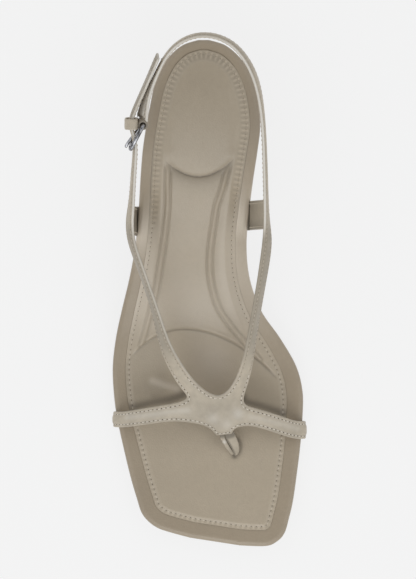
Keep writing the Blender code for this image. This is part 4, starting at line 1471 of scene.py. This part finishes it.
def build_insole():
    """The padded sock: heel pad, arch pad with its piping and front edge, stitched round its border."""
    ribs = dense_near(smooth_rows(FOOTBED_RIBS, 60), SOCK_FINE_ZONES)
    inset = rim_width(sole_ring(ribs, 0.0))
    ring = sole_ring(ribs, inset)
    half = len(ribs)
    grid = sock_grid(ring[:half], ring[:half - 1:-1])
    border, faces = sock_faces(half, grid.shape[1])
    flat = grid.reshape(-1, 2)
    x, y = flat.T
    edge = nearest(flat, even_loop(ring, SOCK_EDGE_POINT_STEP, ring[0]))[1]
    edge[border] = 0.0
    base = feather(y) + FOOTBED_THICKNESS + PIECE_GAP
    height, dark, light = sock_surface(x, y, edge)
    top = np.column_stack([flat, base + height])
    below = np.column_stack([flat, base])[border]
    points = np.vstack([top, below])
    path = even_loop(sole_ring(ribs, inset + SOCK_STITCH_INSET), SEAM_POINT_STEP, SEAM_START)
    plain = np.zeros(len(border))
    # The sock's painted shade, darker on its underside, its painted light, its stitch count and its pucker
    # band.
    marks = {
        "painted_shade": np.append(dark, plain + UNDERSIDE_SHADE),
        "edge": np.append(light, plain),
        "seam": np.append(seam_count(flat, path), plain),
        "border": np.append(pucker_band(x, y, edge), plain),
    }
    piece = new_piece("sock_pad", points, faces, [SOCK], ["insole"], marks)
    path = np.column_stack([path, feather(path[:, 1]) + FOOTBED_THICKNESS + SEAM_RISE])
    up = np.tile((0.0, 0.0, 1.0), (len(path), 1))
    sewing = Stitching(length=1.3, width=0.45, height=0.2, hole=0.3)
    tree = surface_tree(points, faces)
    sewing.run(path, up, SOCK_STITCH_PITCH, tree, closed=True, quiet=at_heel_seam)
    sewing.piece("sock_stitching", "insole_leather", [SOCK_THREAD, SOCK_HOLE, HEEL_THREAD, QUIET_HOLE])


# Outsole and heel.

def outsole_ribs(steps):
    """Ribs of the outsole: the footbed's ribs moved inward, from the heel breast to the toe."""
    ribs = smooth_rows(FOOTBED_RIBS, steps)
    ring = sole_ring(ribs, OUTSOLE_INSET)
    half = len(ribs)
    ribs = np.hstack([ring[:half], ring[:half - 1:-1]])
    k = int(np.argmax(ribs[:, 1] < OUTSOLE_END_Y))
    part = (ribs[k - 1, 1] - OUTSOLE_END_Y) / (ribs[k - 1, 1] - ribs[k, 1])
    end = ribs[k - 1] + (ribs[k] - ribs[k - 1]) * part
    return np.vstack([end, ribs[k:]])


def build_outsole():
    """The thin bottoming under the footbed."""
    ribs = outsole_ribs(8)
    rings = []
    for inset, rise in smooth_rows(OUTSOLE_WALL, 4):
        ring = sole_ring(ribs, inset)
        height = feather(ring[:, 1]) - PIECE_GAP - OUTSOLE_THICKNESS + rise
        rings.append(np.column_stack([ring, height]))
    points, faces = sole_block(rings)
    new_piece("outsole_bottom", points, faces, [BOTTOM], ["outsole"], sharp=45.0)


def heel_outline(section, inset):
    """One heel section in plan: round at the back, nearly straight across the breast."""
    width = section.half_width - inset
    back = oval(width, section.to_back - inset, HEEL_BACK_ROUNDING, HEEL_SIDES)
    breast = oval(width, section.to_breast - inset, HEEL_BREAST_ROUNDING, HEEL_SIDES)
    points = [a if a[1] >= 0.0 else b for a, b in zip(back, breast)]
    return [(HEEL_CENTRE_X + x, section.centre_y + y) for x, y in points]


def build_heel():
    """The covered heel between its tip and the seat."""
    foot = TOP_PIECE_HEIGHT + PIECE_GAP
    rings = []
    for row in smooth_rows(HEEL_SECTIONS, 8)[::-1]:
        section = HeelSection(*row)
        ring = []
        for x, y in heel_outline(section, 0.0):
            seat = float(feather(y)) - PIECE_GAP
            ring.append((x, y, foot + (seat - foot) * (1.0 - section.drop)))
        rings.append(ring)
    points, faces = loft(rings)
    new_piece("heel_cover", points, faces, [COVER], ["heel"],
              {"painted_shade": np.zeros(len(points))}, sharp=50.0)


def build_top_piece():
    """The rubber tip under the heel."""
    rings = []
    for inset, z in TOP_PIECE_WALL:
        rings.append([(x, y, z) for x, y in heel_outline(HEEL_SECTIONS[-1], inset)])
    points, faces = loft(rings)
    new_piece("heel_tip", points, faces, [TIP], ["heel_top_piece"], sharp=50.0)


# Buckle.

def buckle_axes():
    """Along the buckle to its front, up its bars, and out of its face."""
    along = (BUCKLE_FRONT - BUCKLE_REAR).normalized()
    up = (BUCKLE_BAR - along * BUCKLE_BAR.dot(along)).normalized()
    return along, up, along.cross(up)


def prong_path():
    """From the ring on the rear bar, through the strap, to rest on the front bar."""
    along, _, out = buckle_axes()
    out = out if out.x < 0 else -out
    reach = WIRE_RADIUS + PIECE_GAP + PRONG_RADIUS
    length = (BUCKLE_FRONT - BUCKLE_REAR).length
    path = [BUCKLE_REAR + along * reach]
    for part, lift in [(0.35, 0.3), (0.7, 0.75), (1.0, 1.0)]:
        path.append(BUCKLE_REAR + along * (length * part) + out * (reach * lift))
    path.append(BUCKLE_FRONT + along * PRONG_OVERHANG + out * (reach - PIECE_GAP))
    return [tuple(p) for p in path]


def bar_band(inner, outer, length, squareness, sides=16, count=48):
    """A band round the buckle's rear bar."""
    along, up, out = buckle_axes()
    profile = oval(0.5 * (outer - inner), 0.5 * length, squareness, sides)
    points = []
    for k in range(count):
        angle = 2 * math.pi * k / count
        away = along * math.cos(angle) + out * math.sin(angle)
        points.extend(BUCKLE_REAR + away * (0.5 * (outer + inner) + a) + up * b for a, b in profile)
    return points, ring_walls(sides, count, closed=True)


def build_buckle_frame(turns=10):
    """The wire frame, with a round corner in each quarter."""
    along, up, _ = buckle_axes()
    middle = (BUCKLE_FRONT + BUCKLE_REAR) * 0.5
    half_length = 0.5 * (BUCKLE_FRONT - BUCKLE_REAR).length - BUCKLE_CORNER
    half_height = 0.5 * BUCKLE_HEIGHT - BUCKLE_CORNER
    path = []
    for quarter, (side_a, side_b) in enumerate([(1, 1), (-1, 1), (-1, -1), (1, -1)]):
        for k in range(turns):
            angle = math.radians(90 * (quarter + k / (turns - 1)))
            a = side_a * half_length + BUCKLE_CORNER * math.cos(angle)
            b = side_b * half_height + BUCKLE_CORNER * math.sin(angle)
            path.append(middle + along * a + up * b)
    points, faces = tube(path, [WIRE_RADIUS] * len(path), 20, True)
    new_piece("buckle_wire", points, faces, [SILVER], ["buckle_frame"])


def build_buckle_prong():
    """The prong, thinner at its end, and its ring on the rear bar."""
    path = smooth_rows(prong_path(), 6)
    taper = [1.0] * (len(path) - len(PRONG_TAPER)) + PRONG_TAPER
    points, faces = tube(path, [PRONG_RADIUS * share for share in taper], 16, False)
    outer = WIRE_RADIUS + PIECE_GAP + 1.4 * PRONG_RADIUS
    ring, ring_faces = bar_band(WIRE_RADIUS + 0.5 * PIECE_GAP, outer, 2 * PRONG_RADIUS, 3.0)
    faces += renumbered(ring_faces, len(points))
    points += [tuple(p) for p in ring]
    new_piece("buckle_tongue", points, faces, [SILVER], ["buckle_prong"])


def build_keeper(count=72, sides=20):
    """A leather loop with rounded edges round the free end of the strap."""
    along = KEEPER_AXIS.normalized()
    out = Vector((-1.0, 0.0, 0.0))
    up = along.cross(out)
    half_length, half_gap, half_height = KEEPER_LOOP
    half_wall = 0.5 * KEEPER_THICKNESS
    profile = oval(half_wall, half_length, KEEPER_EDGE_SQUARENESS, sides)
    strips, edge = [], []
    for grow, shift in profile:
        reach = half_wall + grow
        outline = oval(half_gap + reach, half_height + reach, KEEPER_SQUARENESS, count)
        strips.append([KEEPER_CENTRE + out * a + up * b + along * shift for a, b in outline])
        edge.append(past(abs(shift), half_length - 0.1, 0.3))
    points = stacked(zip(*strips))
    faces = ring_walls(sides, count, closed=True)
    marks = {"edge": np.tile(edge, count), "painted_shade": np.zeros(len(points))}
    new_piece("keeper_loop", points, faces, [STRAPS], ["strap_keeper"], marks)


def build_sling_eye():
    """The end of the sling strap rolled round the buckle's rear bar, with painted shade at its two ends
    along the bar.
    """
    inner = WIRE_RADIUS + PIECE_GAP
    points, faces = bar_band(inner, inner + EYE_WALL, EYE_LENGTH, 7.0)
    _, up, _ = buckle_axes()
    rise = np.array([(p - BUCKLE_REAR).dot(up) for p in points])
    # Painted shade at both ends of the eye along the bar.
    marks = {
        "edge": np.zeros(len(points)),
        "painted_shade": 0.8 * past(np.abs(rise), 0.5 * EYE_LENGTH - 0.5, 0.4),
    }
    new_piece("sling_eye", points, faces, [STRAPS], marks=marks)


# Stage.

def build_floor():
    """A white floor with a faint shadow, made by a dim grey that also glows."""
    g = Graph(bpy.data.materials.new("floor"))
    grey = g.mix(g.noise(g.place(), 3.0, 2.0), *FLOOR_GREYS)
    g.finish(Base_Color=grey, Roughness=0.9, Specular_IOR_Level=0.0, Emission_Color=(*WHITE, 1.0),
             Emission_Strength=FLOOR_GLOW)
    mesh = bpy.data.meshes.new("floor")
    corners = [(x * FLOOR_HALF, y * FLOOR_HALF, 0.0) for x, y in [(-1, -1), (1, -1), (1, 1), (-1, 1)]]
    mesh.from_pydata(corners, [], [(0, 1, 2, 3)])
    mesh.materials.append(g.owner)
    new_object("floor", mesh)


def build_camera():
    """Straight down, from as far as the photo was taken, framing the one shoe."""
    lens = bpy.data.cameras.new("camera")
    lens.sensor_width = SENSOR
    lens.lens = SENSOR * CAMERA_HEIGHT / FRAME_HEIGHT
    lens.clip_end = 20.0
    made = new_object("camera", lens)
    made.location = (-CENTRE_X * MM, -CENTRE_Y * MM, CAMERA_HEIGHT)
    bpy.context.scene.camera = made


def build_sky():
    """A soft sky, brighter to the toe, dim overhead and at the horizon."""
    scene = bpy.context.scene
    scene.view_settings.view_transform = "Standard"
    g = Graph(bpy.data.worlds.new("studio"), "Background")
    axes = g.tree.nodes.new("ShaderNodeSeparateXYZ")
    g.feed(axes.inputs[0], g.add("ShaderNodeTexCoord", "Generated"))
    level = 1.0
    for axis, *span in SKY:
        level = g.times(level, g.span(axes.outputs[axis], *span))
    scene.world = g.finish(Color=(0.98, 0.99, 1.0, 1.0), Strength=level)


def build_light(name, place, target, size, power, colour):
    """A soft panel that faces a target."""
    lamp = bpy.data.lights.new(name, "AREA")
    lamp.color = colour
    lamp.shape = "RECTANGLE"
    lamp.size, lamp.size_y = size
    lamp.energy = power
    made = new_object(name, lamp)
    made.location = place
    made.rotation_euler = (Vector(target) - Vector(place)).to_track_quat("-Z", "Y").to_euler()


build_camera()
build_footbed()
build_insole()
build_outsole()
build_heel()
build_top_piece()
build_upper()
build_strand("toe_post_wide", WIDE_STRAND, -1)
build_strand("toe_post_narrow", NARROW_STRAND, 1)
build_keeper()
build_sling_eye()
build_buckle_frame()
build_buckle_prong()
build_floor()
build_sky()
build_light("toe_panel", place=(-0.03, -0.85, 0.75), target=(0.0, 0.0, 0.02), size=(0.8, 0.5),
            power=1.6, colour=COOL_WHITE)
build_light("top_softbox", place=(-0.02, -0.42, 0.62), target=(0.0, -0.04, 0.02), size=(0.5, 0.4),
            power=0.35, colour=WHITE)
